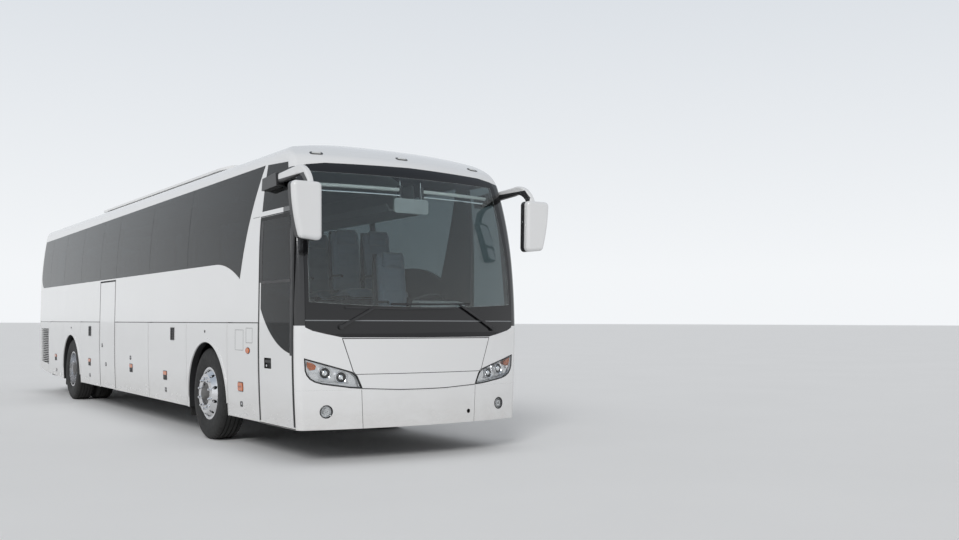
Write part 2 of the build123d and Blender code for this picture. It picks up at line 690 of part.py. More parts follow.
with BuildPart() as rear_bumper:
    region = side_prism(
        [(WALL_REAR_Y + JOINT_LINE, REAR_SKIRT_Z - 22), (TAIL_Y + 50, REAR_SKIRT_Z + 40),
         (TAIL_Y + 50, REAR_BUMPER_TOP), (WALL_REAR_Y + JOINT_LINE, REAR_BUMPER_TOP)]
    )
    add(skin_piece(region, outer_skin, bumper_back))
save(rear_bumper.part, "rear_bumper")

# Cabin floor: deck, driver's platform, stairwells and wheel boxes
DECK_HALF = 1260
PLATFORM_X = -470
FRONT_STEPS = ((-1260, -960, 400), (-960, -715, 590), (-715, -470, 780))
AISLE_STEPS = ((-4520, -4360, 1060), (-4360, AISLE_FRONT_Y, 1170))
MID_STEPS = ((-1260, -1000, 400), (-1000, -790, 620), (-790, -580, 840), (-580, -370, 1060))
MID_WELL = (560, 1440)
FRONT_WELL_REAR_Y = DOOR_REAR_Y + 60
TREAD = 30
WHEEL_BOX_INNER_X = 560
WHEEL_BOX_TOP = 1120
WHEEL_BOX_LOW = 700
WHEEL_BOX_HALF = 662
SHEET = 20
FLOOR_EDGE_LOW = 1260


def riser_stair(steps, y, top_z):
    """Steps across the coach: treads from x0 to x1 at z, each with a riser up to the next."""
    with BuildPart() as stair:
        levels = [z for x0, x1, z in steps[1:]] + [top_z]
        for (x0, x1, z), next_z in zip(steps, levels):
            add(block((x0, x1), y, (z - TREAD, z)))
            add(block((x1 - SHEET, x1), y, (z - TREAD, next_z)))
    return stair.part


def wheel_box(side, axle_y):
    """Liner over one wheel station, open below and towards the flank."""
    inner_x = side * WHEEL_BOX_INNER_X
    outer_x = side * FLOOR_EDGE_LOW
    x = (min(inner_x, outer_x), max(inner_x, outer_x))
    wall_x = (min(inner_x, inner_x + side * SHEET), max(inner_x, inner_x + side * SHEET))
    front_y = axle_y - WHEEL_BOX_HALF
    rear_y = axle_y + WHEEL_BOX_HALF
    with BuildPart() as box:
        add(block(x, (front_y, rear_y), (WHEEL_BOX_TOP, WHEEL_BOX_TOP + SHEET)))
        add(block(wall_x, (front_y, rear_y), (WHEEL_BOX_LOW, WHEEL_BOX_TOP)))
        for y0 in (front_y, rear_y - SHEET):
            add(block(x, (y0, y0 + SHEET), (SKIRT_Z + 80, WHEEL_BOX_TOP)))
    return box.part


with BuildPart() as cabin_floor:
    add(block((-DECK_HALF, DECK_HALF), (AISLE_FRONT_Y, WALL_REAR_Y), (DECK_Z - DECK_THICK, DECK_Z)))
    well_y = (MID_WELL[0] - SLIP, MID_WELL[1] + SLIP)
    add(block((-1300, MID_STEPS[-1][1] + SLIP), well_y, (DECK_Z - DECK_THICK, DECK_Z)), mode=Mode.SUBTRACT)
    add(cabin_space, mode=Mode.INTERSECT)
save(cabin_floor.part, "cabin_floor")

with BuildPart() as stairwells:
    deck_low = DECK_Z - DECK_THICK - SLIP
    add(riser_stair(MID_STEPS, MID_WELL, DECK_Z))
    for y0 in MID_WELL[0] - SHEET, MID_WELL[1]:
        add(block((-1260, MID_STEPS[-1][1]), (y0, y0 + SHEET), (BAY_FLOOR_Z - TREAD + 10, deck_low)))
    add(riser_stair(FRONT_STEPS, (pillar_edge(0) + 20, FRONT_WELL_REAR_Y), CAB_Z))
    add(block((-1260, PLATFORM_X), (FRONT_WELL_REAR_Y, FRONT_WELL_REAR_Y + SHEET), (STEP_Z - TREAD, CAB_Z)))
    add(cabin_space, mode=Mode.INTERSECT)
save(stairwells.part, "stairwells")

with BuildPart() as cab_platform:
    rear_y = AISLE_FRONT_Y - SLIP
    add(block((PLATFORM_X + SLIP, 1260), (-6080, rear_y), (CAB_Z - TREAD, CAB_Z)))
    add(block((-1205, 0), (FRONT_WELL_REAR_Y + SHEET + SLIP, rear_y), (CAB_Z - TREAD, CAB_Z)))
    for y0, y1, z in AISLE_STEPS:
        add(block((-330, 230), (y0, min(y1, rear_y)), (CAB_Z - TREAD, z)))
    add(block((-1205, 1205), (rear_y - SHEET, rear_y), (CAB_Z - TREAD, DECK_Z)))
    add(cabin_space, mode=Mode.INTERSECT)
save(cab_platform.part, "cab_platform")

with BuildPart() as wheel_boxes:
    for side in (-1, 1):
        for axle_y in (FRONT_AXLE_Y, REAR_AXLE_Y):
            add(wheel_box(side, axle_y - 20))
            for y0 in axle_y - 300, axle_y + 300:
                add(block((min(side * 600, side * 1100), max(side * 600, side * 1100)), (y0, y0 + 40),
                          (WHEEL_BOX_TOP + SHEET, deck_low)))
    add(cabin_space, mode=Mode.INTERSECT)
save(wheel_boxes.part, "wheel_boxes")

# Luggage bay floor with its bulkheads
BAY = (-2735, 2745)
with BuildPart() as luggage_bay:
    add(block((-1260, 1260), BAY, (BAY_FLOOR_Z - BAY_SHEET, BAY_FLOOR_Z)))
    add(block((-1300, -345), (MID_WELL[0] - SHEET, MID_WELL[1] + SHEET), (0, DECK_Z)), mode=Mode.SUBTRACT)
    for y0 in BAY[0], BAY[1] - SHEET:
        add(block((-1260, 1260), (y0, y0 + SHEET), (BAY_FLOOR_Z, DECK_Z - DECK_THICK)))
    add(cabin_space, mode=Mode.INTERSECT)
save(luggage_bay.part, "luggage_bay")

# Chassis frame: two rails that drop below the luggage bay, with cross members
DIFFERENTIAL_RADIUS = 200
REAR_STUB_RADIUS = 89.6
RAIL_X = 420
RAIL_WIDTH = 70
RAIL_DEPTH = 130
RAIL_HIGH = 750
RAIL_LOW = 290
RAIL_FRONT_Y = -5895
RAIL_REAR_Y = WALL_REAR_Y - 60
# Cross members: station, rail level and reach of the outriggers past the rails, 0 for none
CROSS_MEMBERS = (
    (-5895, RAIL_HIGH, 900), (-4900, RAIL_HIGH, 0), (-4130, RAIL_HIGH, 520), (-2600, RAIL_LOW, 1150),
    (-1160, RAIL_LOW, 1150), (300, RAIL_LOW, 1150), (1600, RAIL_LOW, 1150), (2640, RAIL_LOW, 1150),
    (4160, RAIL_HIGH, 0), (RAIL_REAR_Y - 40, RAIL_HIGH, 900),
)
with BuildPart() as chassis_frame:
    rail_side = [
        (RAIL_FRONT_Y, RAIL_HIGH), (-2990, RAIL_HIGH), (-2800, RAIL_LOW), (2820, RAIL_LOW), (3010, RAIL_HIGH),
        (RAIL_REAR_Y, RAIL_HIGH), (RAIL_REAR_Y, RAIL_HIGH + RAIL_DEPTH), (2930, RAIL_HIGH + RAIL_DEPTH),
        (2780, RAIL_LOW + RAIL_DEPTH), (-2760, RAIL_LOW + RAIL_DEPTH), (-2910, RAIL_HIGH + RAIL_DEPTH),
        (RAIL_FRONT_Y, RAIL_HIGH + RAIL_DEPTH),
    ]
    for x in (-RAIL_X, RAIL_X):
        add(side_prism(rail_side, x - RAIL_WIDTH / 2, x + RAIL_WIDTH / 2))
save(chassis_frame.part, "chassis_frame")

with BuildPart() as cross_members:
    inner_x = RAIL_X - RAIL_WIDTH / 2 - SLIP
    outer_x = RAIL_X + RAIL_WIDTH / 2 + SLIP
    for y, z, reach in CROSS_MEMBERS:
        spans = [(-inner_x, inner_x)]
        if reach:
            spans += [(-reach, -outer_x), (outer_x, reach)]
        for span in spans:
            add(block(span, (y - 34, y + 34), (z + 20, z + RAIL_DEPTH - 20)))
save(cross_members.part, "cross_members")

with BuildPart() as engine_block:
    engine_half = RAIL_X - RAIL_WIDTH / 2 - SLIP
    add(block((-engine_half, engine_half), (4750, 5900), (500, 1150)))
    with BuildSketch(Plane.XZ.offset(-4750)):
        with Locations((0, 560)):
            Circle(45)
    extrude(amount=4750 - REAR_AXLE_Y - DIFFERENTIAL_RADIUS - 5)
save(engine_block.part, "engine_block")

with BuildPart() as fuel_tank:
    with BuildSketch(Plane.XZ.offset(4860)):
        with Locations((0, 584.7)):
            RectangleRounded(1500, 330, 60)
    extrude(amount=-480)
save(fuel_tank.part, "fuel_tank")

# Axles
with BuildPart() as front_axle:
    with BuildSketch(Plane.XZ.offset(-FRONT_AXLE_Y - 45)):
        Polygon(
            (-KINGPIN_X, 560), (-KINGPIN_X, 470), (-760, 470), (-600, 370), (600, 370), (760, 470),
            (KINGPIN_X, 470), (KINGPIN_X, 560), (740, 560), (580, 460), (-580, 460), (-740, 560),
            align=None,
        )
    extrude(amount=90)
    for side in (-1, 1):
        with BuildSketch(Plane.XY.offset(455)):
            with Locations((side * KINGPIN_X, FRONT_AXLE_Y)):
                Circle(50)
        extrude(amount=120)
        with BuildSketch(Plane.XY.offset(455)):
            with Locations((side * RAIL_X, FRONT_AXLE_Y)):
                Circle(120)
        extrude(amount=RAIL_HIGH - 455 - SLIP)
    with Locations((-KINGPIN_X, FRONT_AXLE_Y, TYRE_RADIUS), (KINGPIN_X, FRONT_AXLE_Y, TYRE_RADIUS)):
        Cylinder(22.4, 400, mode=Mode.SUBTRACT)
save(front_axle.part, "front_axle")

with BuildPart() as rear_axle:
    add(cylinder_x(REAR_AXLE_Y, TYRE_RADIUS, 85, -640, 640))
    for side in (-1, 1):
        stub_x = sorted((side * 620, side * 1190))
        add(cylinder_x(REAR_AXLE_Y, TYRE_RADIUS, REAR_STUB_RADIUS, *stub_x))
    with BuildSketch(Plane.YZ.offset(-110)):
        with Locations((REAR_AXLE_Y, TYRE_RADIUS)):
            Circle(DIFFERENTIAL_RADIUS)
    extrude(amount=220)
    for side in (-1, 1):
        for dy in (-325, 400):
            with BuildSketch(Plane.XY.offset(460)):
                with Locations((side * RAIL_X, REAR_AXLE_Y + dy)):
                    Circle(105)
            extrude(amount=RAIL_HIGH - 460 - SLIP)
        spring_x = (side * RAIL_X - 40, side * RAIL_X + 40)
        add(block(spring_x, (REAR_AXLE_Y - 520, REAR_AXLE_Y + 520), (410, 480)))
save(rear_axle.part, "rear_axle")

HUB_BORE = 46
for name, side in (("left_knuckle", 1), ("right_knuckle", -1)):
    with BuildPart() as knuckle:
        for z0, z1 in ((414, 454.7), (575.3, 616)):
            with BuildSketch(Plane.XY.offset(z0)):
                with Locations((side * KINGPIN_X, FRONT_AXLE_Y)):
                    Circle(50)
                with Locations((side * (KINGPIN_X + 40), FRONT_AXLE_Y)):
                    Rectangle(80, 100)
            extrude(amount=z1 - z0)
        with BuildSketch(Plane.XY.offset(414)):
            with Locations((side * (KINGPIN_X + 72), FRONT_AXLE_Y)):
                Rectangle(28, 130)
        extrude(amount=202)
        with BuildSketch(Plane.XY.offset(414)):
            with Locations((side * KINGPIN_X, FRONT_AXLE_Y)):
                Circle(22)
        extrude(amount=202)
        spindle_x = sorted((side * 990, side * 1225))
        add(cylinder_x(FRONT_AXLE_Y, TYRE_RADIUS, HUB_BORE - 0.4, *spindle_x))
    save(knuckle.part, name)


def turned(profile, axle_y, centre_x, side):
    """Body of revolution about an axle from (out, radius) points, out measured from centre_x."""
    with BuildPart() as body:
        with BuildSketch(Plane.XZ.offset(-axle_y)):
            Polygon(*[(side * (centre_x + out), TYRE_RADIUS + r) for out, r in profile], align=None)
        revolve(axis=Axis((0, axle_y, TYRE_RADIUS), (1, 0, 0)))
    return body.part


# Profiles as (out, radius)
BEAD_RADIUS = 301
SIDEWALL = TYRE_RADIUS - BEAD_RADIUS
BULGE = ((138, 44 / 214), (145, 99 / 214), (140, 159 / 214), (122, 199 / 214), (100, 1))
TYRE_WALL = [(116, BEAD_RADIUS)] + [(out, BEAD_RADIUS + SIDEWALL * rise) for out, rise in BULGE]
TYRE = (
    [(-112, 286.3), (112, 286.3)] + TYRE_WALL + [(-out, radius) for out, radius in reversed(TYRE_WALL)]
)
FRONT_RIM = (
    (-116, 286), (-116, 300), (-122, 300), (-122, 272), (82, 272), (150, 216), (150, 205), (95, 200),
    (95, HUB_BORE), (135, HUB_BORE), (135, 128), (167, 134), (167, 220), (108, 270), (122, 274), (122, 300),
    (116, 300), (116, 286),
)
BRAKE_DRUM = ((-60, 180), (-60, 200), (100, 200), (100, 180))
DISC_HALF = TWIN_PITCH / 2
REAR_OUTER_RIM = (
    (-116, 286), (-116, 300), (-122, 300), (-122, 272), (-60, 272), (-140, 220), (-DISC_HALF + 0.5, 210),
    (-DISC_HALF + 0.5, 90), (90, 90), (90, 110), (60, 120), (-DISC_HALF + 20, 125), (-DISC_HALF + 20, 205),
    (-40, 258), (122, 274), (122, 300), (116, 300), (116, 286),
)
REAR_INNER_RIM = (
    (-116, 286), (-116, 300), (-122, 300), (-122, 272), (40, 262), (DISC_HALF - 20, 205),
    (DISC_HALF - 20, 90), (DISC_HALF + 0.5, 90), (DISC_HALF + 0.5, 212), (122, 262), (122, 300), (116, 300),
    (116, 286),
)
HAND_HOLES = 10
HAND_HOLE_RADIUS = 19


def hand_holes(axle_y, centre_x, side, ring, out):
    """Ring of holes through a wheel disc, between two depths measured out from centre_x."""
    with BuildPart() as holes:
        with BuildSketch(Plane.YZ.offset(side * (centre_x + out[0]))):
            with Locations((axle_y, TYRE_RADIUS)):
                with PolarLocations(ring, HAND_HOLES, start_angle=18):
                    Circle(HAND_HOLE_RADIUS)
        extrude(amount=side * (out[1] - out[0]))
    return holes.part


for name, side in (("front_left", 1), ("front_right", -1)):
    with BuildPart() as rim:
        add(turned(FRONT_RIM, FRONT_AXLE_Y, WHEEL_X, side))
        add(turned(BRAKE_DRUM, FRONT_AXLE_Y, WHEEL_X, side))
        add(hand_holes(FRONT_AXLE_Y, WHEEL_X, side, 244, (60, 180)), mode=Mode.SUBTRACT)
    save(rim.part, f"{name}_rim")
    with BuildPart() as tyre:
        add(turned(TYRE, FRONT_AXLE_Y, WHEEL_X, side))
    save(tyre.part, f"{name}_tyre")

for name, side in (("rear_left", 1), ("rear_right", -1)):
    with BuildPart() as rim:
        add(turned(REAR_OUTER_RIM, REAR_AXLE_Y, WHEEL_X, side))
        add(turned(REAR_INNER_RIM, REAR_AXLE_Y, WHEEL_X - TWIN_PITCH, side))
        add(hand_holes(REAR_AXLE_Y, WHEEL_X, side, 236, (-170, -20)), mode=Mode.SUBTRACT)
        add(hand_holes(REAR_AXLE_Y, WHEEL_X - TWIN_PITCH, side, 236, (20, 170)), mode=Mode.SUBTRACT)
    save(rim.part, f"{name}_rims")
    with BuildPart() as tyre:
        add(turned(TYRE, REAR_AXLE_Y, WHEEL_X, side))
        add(turned(TYRE, REAR_AXLE_Y, WHEEL_X - TWIN_PITCH, side))
    save(tyre.part, f"{name}_tyres")

# Cab interior
WHEEL_CENTRE = (600, -5130, 1520)
WHEEL_TILT = 30
STEERING_RADIUS = 212
COLUMN_RADIUS = 24
COLUMN_LENGTH = 340
steering_axis = (0, sin(radians(WHEEL_TILT)), cos(radians(WHEEL_TILT)))
steering_plane = Plane(origin=WHEEL_CENTRE, x_dir=(1, 0, 0), z_dir=steering_axis)

DASH = (
    (-5770, CAB_Z), (-5330, CAB_Z), (-5300, 1330), (-5380, 1430), (-5640, 1445), (NOSE_Y, 1440),
    (NOSE_Y, 1390), (-5800, 1360),
)
BINNACLE = ((-5460, 1400), (-5262, 1400), (-5330, 1560), (-5500, 1530))
SHELF_X = (-1100, -290)
with BuildPart() as dashboard:
    add(side_prism(DASH, -300, 1120))
    with BuildSketch(Plane.YZ.offset(320)):
        Polygon(*BINNACLE, align=None)
        fillet(vertices(), 30)
    extrude(amount=560)
    add(block(SHELF_X, (NOSE_Y, -5835), (1390, 1440)))
    with BuildSketch(steering_plane.offset(-COLUMN_LENGTH - 5)):
        Circle(COLUMN_RADIUS + SLIP)
    extrude(amount=COLUMN_LENGTH - 60, mode=Mode.SUBTRACT)
    add(cabin_space, mode=Mode.INTERSECT)
save(dashboard.part, "dashboard")

with BuildPart() as steering_wheel:
    with BuildSketch(Plane(origin=WHEEL_CENTRE, x_dir=(1, 0, 0), z_dir=steering_plane.y_dir)):
        with Locations((STEERING_RADIUS, 0)):
            RegularPolygon(15, 8)
    revolve(axis=Axis(WHEEL_CENTRE, steering_axis))
    with BuildSketch(steering_plane.offset(-9)):
        Circle(62)
        with PolarLocations(STEERING_RADIUS / 2 + 15, 3, start_angle=90):
            Rectangle(STEERING_RADIUS - 30, 36)
    extrude(amount=18)
    with BuildSketch(steering_plane.offset(-COLUMN_LENGTH)):
        Circle(COLUMN_RADIUS)
    extrude(amount=COLUMN_LENGTH - 5)
save(steering_wheel.part, "steering_wheel")

SEAT_SIDE = (
    (0, 0), (60, -30), (430, -10), (450, 60), (420, 110), (110, 90), (-40, 680), (-20, 860), (-110, 870),
    (-130, 700), (-60, 120),
)
SEAT_BASE_Z = 370
SEAT_PITCH = 830


def seat(x, y, floor_z, width):
    """Seat facing forwards: cushion and back as one, on a pedestal."""
    with BuildPart() as body:
        with BuildSketch(Plane.YZ.offset(x - width / 2)):
            Polygon(*[(y - dy, floor_z + SEAT_BASE_Z + dz) for dy, dz in SEAT_SIDE], align=None)
        extrude(amount=width)
        add(block((x - 60, x + 60), (y - 330, y - 110), (floor_z + SLIP, floor_z + SEAT_BASE_Z)))
    return body.part


with BuildPart() as driver_seat:
    add(seat(600, -4430, CAB_Z, 500))
save(driver_seat.part, "driver_seat")

ROWS = [AISLE_FRONT_Y + 700 + SEAT_PITCH * n for n in range(11)]
DOUBLE_WIDTH = 900
SEAT_X = 690
with BuildPart() as passenger_seats:
    for y in ROWS:
        add(seat(SEAT_X, y, DECK_Z, DOUBLE_WIDTH))
        if y < MID_WELL[0] or y - 500 > MID_WELL[1]:
            add(seat(-SEAT_X, y, DECK_Z, DOUBLE_WIDTH))
save(passenger_seats.part, "passenger_seats")

RACK_Z = ROOF_Z - 540
# Rack section as (x, height above the rack floor): tray, front lip and hanger
RACK = (
    (1250, 0), (760, 30), (720, 110), (735, 118), (775, 52), (1120, 25), (1075, 460), (1090, 460), (1140, 24),
    (1250, 24),
)
with BuildPart() as luggage_racks:
    for side in (-1, 1):
        with BuildSketch(Plane.XZ.offset(4000)):
            Polygon(*[(side * x, RACK_Z + rise) for x, rise in RACK], align=None)
        extrude(amount=-9700)
    add(inner_skin, mode=Mode.INTERSECT)
save(luggage_racks.part, "luggage_racks")

# Mirrors: bracket on the side of the cab, swept arm and domed head, drawn on the left
MIRROR_FRONT_Y = NOSE_Y - 155
MIRROR_DEPTH = 130
MIRROR_BRACKET = ((-5510, 2640), (-5135, 2625), (-5150, 2745), (-5480, 2770))
ARM_X = (1238, 1300)
ARM_EDGE = 20
with BuildPart() as mirror_head:
    with BuildSketch(Plane.XZ.offset(-MIRROR_FRONT_Y - MIRROR_DEPTH)):
        with BuildLine():
            Line((1172, 2603), (1164, 2063))
            Line((1164, 2063), (1380, 2085))
            ThreePointArc((1380, 2085), (1438, 2330), (1462, 2603))
            Line((1462, 2603), (1172, 2603))
        make_face()
        fillet(vertices(), 45)
    extrude(amount=MIRROR_DEPTH)
    front_face = mirror_head.faces().sort_by(Axis.Y)[0]
    rear_face = mirror_head.faces().sort_by(Axis.Y)[-1]
    fillet(front_face.edges(), 38)
    fillet(rear_face.edges(), 8)

with BuildPart() as mirror_arm:
    with BuildSketch(Plane.YZ.offset(ARM_X[0])):
        with BuildLine():
            Line((-5370, 2655), (-5370, 2752))
            Line((-5370, 2752), (-5880, 2784))
            ThreePointArc((-5880, 2784), (-6128, 2716), (-6222, 2540))
            Line((-6222, 2540), (-6135, 2540))
            ThreePointArc((-6135, 2540), (-6062, 2652), (-5880, 2690))
            Line((-5880, 2690), (-5370, 2655))
        make_face()
    extrude(amount=ARM_X[1] - ARM_X[0])
    inner_face = mirror_arm.faces().sort_by(Axis.X)[0]
    outer_face = mirror_arm.faces().sort_by(Axis.X)[-1]
    fillet(inner_face.edges() + outer_face.edges(), ARM_EDGE)

with BuildPart() as mirrors:
    add(side_prism(MIRROR_BRACKET, 1150, 1315))
    add(mirror_arm.part)
    add(mirror_head.part)
    mirror(about=Plane.YZ)
    add(fitting_face, mode=Mode.SUBTRACT)
save(mirrors.part, "mirrors")


def nose_band(low_z, high_z, near, far):
    """Thin curved band standing off the windscreen, between two distances out from it."""
    heights = [low_z, (low_z + high_z) / 2, high_z]
    front = [(nose_y(z) - far, z) for z in heights]
    back = [(nose_y(z) - near, z) for z in reversed(heights)]
    with BuildPart() as band:
        with BuildSketch(Plane.YZ):
            Polygon(*front, *back, align=None)
        revolve(axis=Axis((0, NOSE_AXIS_Y, 0), (0, 0, 1)))
    return band.part


# Wipers seen from ahead: pivot, then arm and blade as (x, z)
WIPERS = (
    ((-865, 1279), ((-880, 1285), (-848, 1272), (-540, 1452), (-556, 1466)),
     ((-820, 1454), (-220, 1447), (380, 1462), (380, 1480), (-220, 1466), (-820, 1472))),
    ((887, 1262), ((872, 1252), (903, 1272), (428, 1512), (420, 1498)),
     ((-354, 1492), (107, 1494), (568, 1504), (568, 1522), (107, 1513), (-354, 1510))),
)
PIVOT_RADIUS = 24


def wiper_strip(outline, near, far):
    """Blade or arm: a front outline carried onto a band in front of the windscreen."""
    with BuildPart() as strip:
        add(nose_band(1230, 1540, near, far))
        add(front_prism(outline, far_y=NOSE_AXIS_Y), mode=Mode.INTERSECT)
    return strip.part


with BuildPart() as wipers:
    for pivot, arm, blade in WIPERS:
        add(wiper_strip(arm, 13, 30))
        add(wiper_strip(blade, 3, 16))
        pivot_y = NOSE_AXIS_Y - sqrt(nose_radius(pivot[1]) ** 2 - pivot[0] ** 2)
        with BuildSketch(Plane.XZ.offset(-pivot_y - 40)):
            with Locations(pivot):
                Circle(PIVOT_RADIUS)
        extrude(amount=76)
    add(fitting_face, mode=Mode.SUBTRACT)
save(wipers.part, "wipers")

# Roof air unit: a base with a domed fairing that stands clear of the roof all round
POD_Y = (-3300, 2600)
POD_TOP = ROOF_Z + 88
POD_LIP = ROOF_Z - 42
POD_HALF = 1030
POD_GAP = 30
POD_BASE_INSET = 100


def roof_height(x):
    """Height of the roof skin at a distance x from its middle."""
    rise = ROOF_Z - CANT_Z
    radius = (half_width(CANT_Z) ** 2 + rise ** 2) / (2 * rise)
    return ROOF_Z - radius + sqrt(radius ** 2 - x ** 2)


def roof_slab(half, y, low, low_edge, high, high_edge):
    """Slab along the roof between two arcs, each given by its height at the middle and at the edge."""
    with BuildPart() as slab:
        with BuildSketch(Plane.XZ.offset(-y[1])):
            with BuildLine():
                ThreePointArc((-half, low_edge), (0, low), (half, low_edge))
                Line((half, low_edge), (half, high_edge))
                ThreePointArc((half, high_edge), (0, high), (-half, high_edge))
                Line((-half, high_edge), (-half, low_edge))
            make_face()
        extrude(amount=y[1] - y[0])
    return slab.part


with BuildPart() as pod_plan:
    with BuildSketch(Plane.XY.offset(POD_LIP - 80)):
        with Locations((0, (POD_Y[0] + POD_Y[1]) / 2)):
            RectangleRounded(2 * POD_HALF, POD_Y[1] - POD_Y[0], 250)
    extrude(amount=400)

with BuildPart() as roof_unit:
    slab_half = POD_HALF + 15
    slab_y = (POD_Y[0] - 15, POD_Y[1] + 15)
    add(roof_slab(slab_half, slab_y, ROOF_Z + POD_GAP, roof_height(slab_half) + POD_GAP, POD_TOP, POD_LIP))
    pod_side = [
        (POD_Y[0] - 50, POD_LIP - 80), (POD_Y[0] - 50, POD_LIP), (POD_Y[0] + 240, POD_TOP - 40),
        (POD_Y[0] + 700, POD_TOP + 20), (POD_Y[1] - 500, POD_TOP + 20), (POD_Y[1] - 160, POD_TOP - 50),
        (POD_Y[1] + 50, POD_LIP), (POD_Y[1] + 50, POD_LIP - 80),
    ]
    add(side_prism(pod_side), mode=Mode.INTERSECT)
    add(pod_plan.part, mode=Mode.INTERSECT)
    base_half = POD_HALF - POD_BASE_INSET
    base_y = (POD_Y[0] + POD_BASE_INSET, POD_Y[1] - POD_BASE_INSET)
    base_edge = roof_height(base_half) + SLIP
    add(roof_slab(base_half, base_y, ROOF_Z + SLIP, base_edge, ROOF_Z + POD_GAP + 12, base_edge + POD_GAP + 12))
save(roof_unit.part, "roof_unit")

# Louvred radiator grille in the right flank: blades that slope down to the outside in one frame
LOUVRES = 20
LOUVRE_THICK = 5
LOUVRE_RISE = 24
GRILLE_EDGE = 22

def grille_plug(inset):
    """Grille outline carried through the flank, drawn in by inset."""
    with BuildPart() as plug:
        with BuildSketch(Plane.YZ.offset(-1500)):
            Polygon(*GRILLE, align=None)
            offset(amount=-inset, kind=Kind.INTERSECTION, mode=Mode.REPLACE)
        extrude(amount=500)
    return plug.part


louvre_back = -HALF_WIDTH + WALL - 6
louvre_pitch = (GRILLE[2][1] - GRILLE[0][1] - GRILLE_EDGE) / LOUVRES
with BuildPart() as louvres:
    for row in range(LOUVRES):
        z = GRILLE[0][1] + GRILLE_EDGE + louvre_pitch * row
        with BuildSketch(Plane.XZ.offset(-GRILLE[1][0])):
            Polygon(
                (-HALF_WIDTH, z), (louvre_back, z + LOUVRE_RISE),
                (louvre_back, z + LOUVRE_RISE + LOUVRE_THICK), (-HALF_WIDTH, z + LOUVRE_THICK),
                align=None,
            )
        extrude(amount=GRILLE[1][0] - GRILLE[0][0])
    add(grille_plug(GRILLE_EDGE / 2), mode=Mode.INTERSECT)
    add(behind_glass, mode=Mode.INTERSECT)

with BuildPart() as radiator_grille:
    add(skin_piece(grille_plug(JOINT_LINE), outer_skin, inner_skin))
    add(grille_plug(GRILLE_EDGE), mode=Mode.SUBTRACT)
    add(louvres.part)
save(radiator_grille.part, "radiator_grille")
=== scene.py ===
"""Looks of the touring coach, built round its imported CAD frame.

Metres. The coach faces -Y, +Z is up and +X is its left flank.
"""

import json
import math

import bmesh
import bpy
import numpy as np
from mathutils import Matrix, Vector
from mathutils.bvhtree import BVHTree


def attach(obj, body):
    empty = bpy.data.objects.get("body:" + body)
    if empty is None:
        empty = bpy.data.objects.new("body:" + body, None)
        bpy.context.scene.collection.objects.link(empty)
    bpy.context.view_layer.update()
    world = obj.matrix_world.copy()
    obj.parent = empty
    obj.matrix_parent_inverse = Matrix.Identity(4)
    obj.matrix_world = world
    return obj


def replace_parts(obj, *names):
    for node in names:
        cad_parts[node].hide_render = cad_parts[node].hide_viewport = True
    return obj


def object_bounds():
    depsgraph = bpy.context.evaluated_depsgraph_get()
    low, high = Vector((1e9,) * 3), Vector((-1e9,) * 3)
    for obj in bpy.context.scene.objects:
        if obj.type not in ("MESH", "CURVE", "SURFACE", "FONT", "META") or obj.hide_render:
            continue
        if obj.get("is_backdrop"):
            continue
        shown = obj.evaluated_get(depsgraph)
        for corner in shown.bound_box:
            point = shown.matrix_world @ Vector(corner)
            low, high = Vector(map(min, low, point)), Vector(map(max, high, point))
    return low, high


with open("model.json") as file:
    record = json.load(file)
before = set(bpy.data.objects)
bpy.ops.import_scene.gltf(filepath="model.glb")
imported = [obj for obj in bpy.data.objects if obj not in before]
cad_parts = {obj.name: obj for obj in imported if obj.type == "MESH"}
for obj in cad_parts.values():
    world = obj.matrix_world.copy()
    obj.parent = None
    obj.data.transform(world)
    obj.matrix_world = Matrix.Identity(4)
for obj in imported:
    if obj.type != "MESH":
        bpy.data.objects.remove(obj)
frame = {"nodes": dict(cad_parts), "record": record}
cad_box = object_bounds()
nodes = frame["nodes"]
scene = bpy.context.scene

# The body form, as the CAD has it
HALF_WIDTH = 1.275
BELT_Z = 1.32
SILL_Z = 1.955
LOW_SIDE_RADIUS = 13.442
HIGH_SIDE_RADIUS = 6.28
NOSE_AXIS_Y = -1.59
NOSE_RADIUS = 4.5
RAKE_Z = 1.2
RAKE_RADIUS = 5.2
TAIL_Y = 6.245
TAIL_BEND_Z = 1.4
TAIL_RAKE = 0.0212
ROOF_Z = 3.18
ROOF_RADIUS = 5.489
CORNERS = {"side and nose": 0.08, "side and tail": 0.15, "side and roof": 0.17}

FRONT_AXLE_Y = -3.42
REAR_AXLE_Y = 3.45
HUB_Z = 0.515
WHEEL_X = 1.095
TWIN_PITCH = 0.33


def arc_through(a, b, c):
    """Centre and radius of the circle through three points."""
    d = 2 * (a[0] * (b[1] - c[1]) + b[0] * (c[1] - a[1]) + c[0] * (a[1] - b[1]))
    squares = [p[0] ** 2 + p[1] ** 2 for p in (a, b, c)]
    x = (squares[0] * (b[1] - c[1]) + squares[1] * (c[1] - a[1]) + squares[2] * (a[1] - b[1])) / d
    y = (squares[0] * (c[0] - b[0]) + squares[1] * (a[0] - c[0]) + squares[2] * (b[0] - a[0])) / d
    return x, y, math.hypot(a[0] - x, a[1] - y)


def half_width(z):
    """Half the body width at height z."""
    low = max(0.0, BELT_Z - z)
    high = max(0.0, z - SILL_Z)
    return HALF_WIDTH - low**2 / (2 * LOW_SIDE_RADIUS) - (
        HIGH_SIDE_RADIUS - math.sqrt(HIGH_SIDE_RADIUS**2 - high**2)
    )


def nose_radius(z):
    rise = max(0.0, z - RAKE_Z)
    return NOSE_RADIUS - (RAKE_RADIUS - math.sqrt(RAKE_RADIUS**2 - rise**2))


def nose_y(x, z):
    """Lengthways place of the front face at (x, z)."""
    return NOSE_AXIS_Y - math.sqrt(nose_radius(z) ** 2 - x * x)


CAP_ARC = arc_through((nose_radius(2.9), 2.9), (3.925, 3.06), (3.25, 3.205))


# ---- Materials


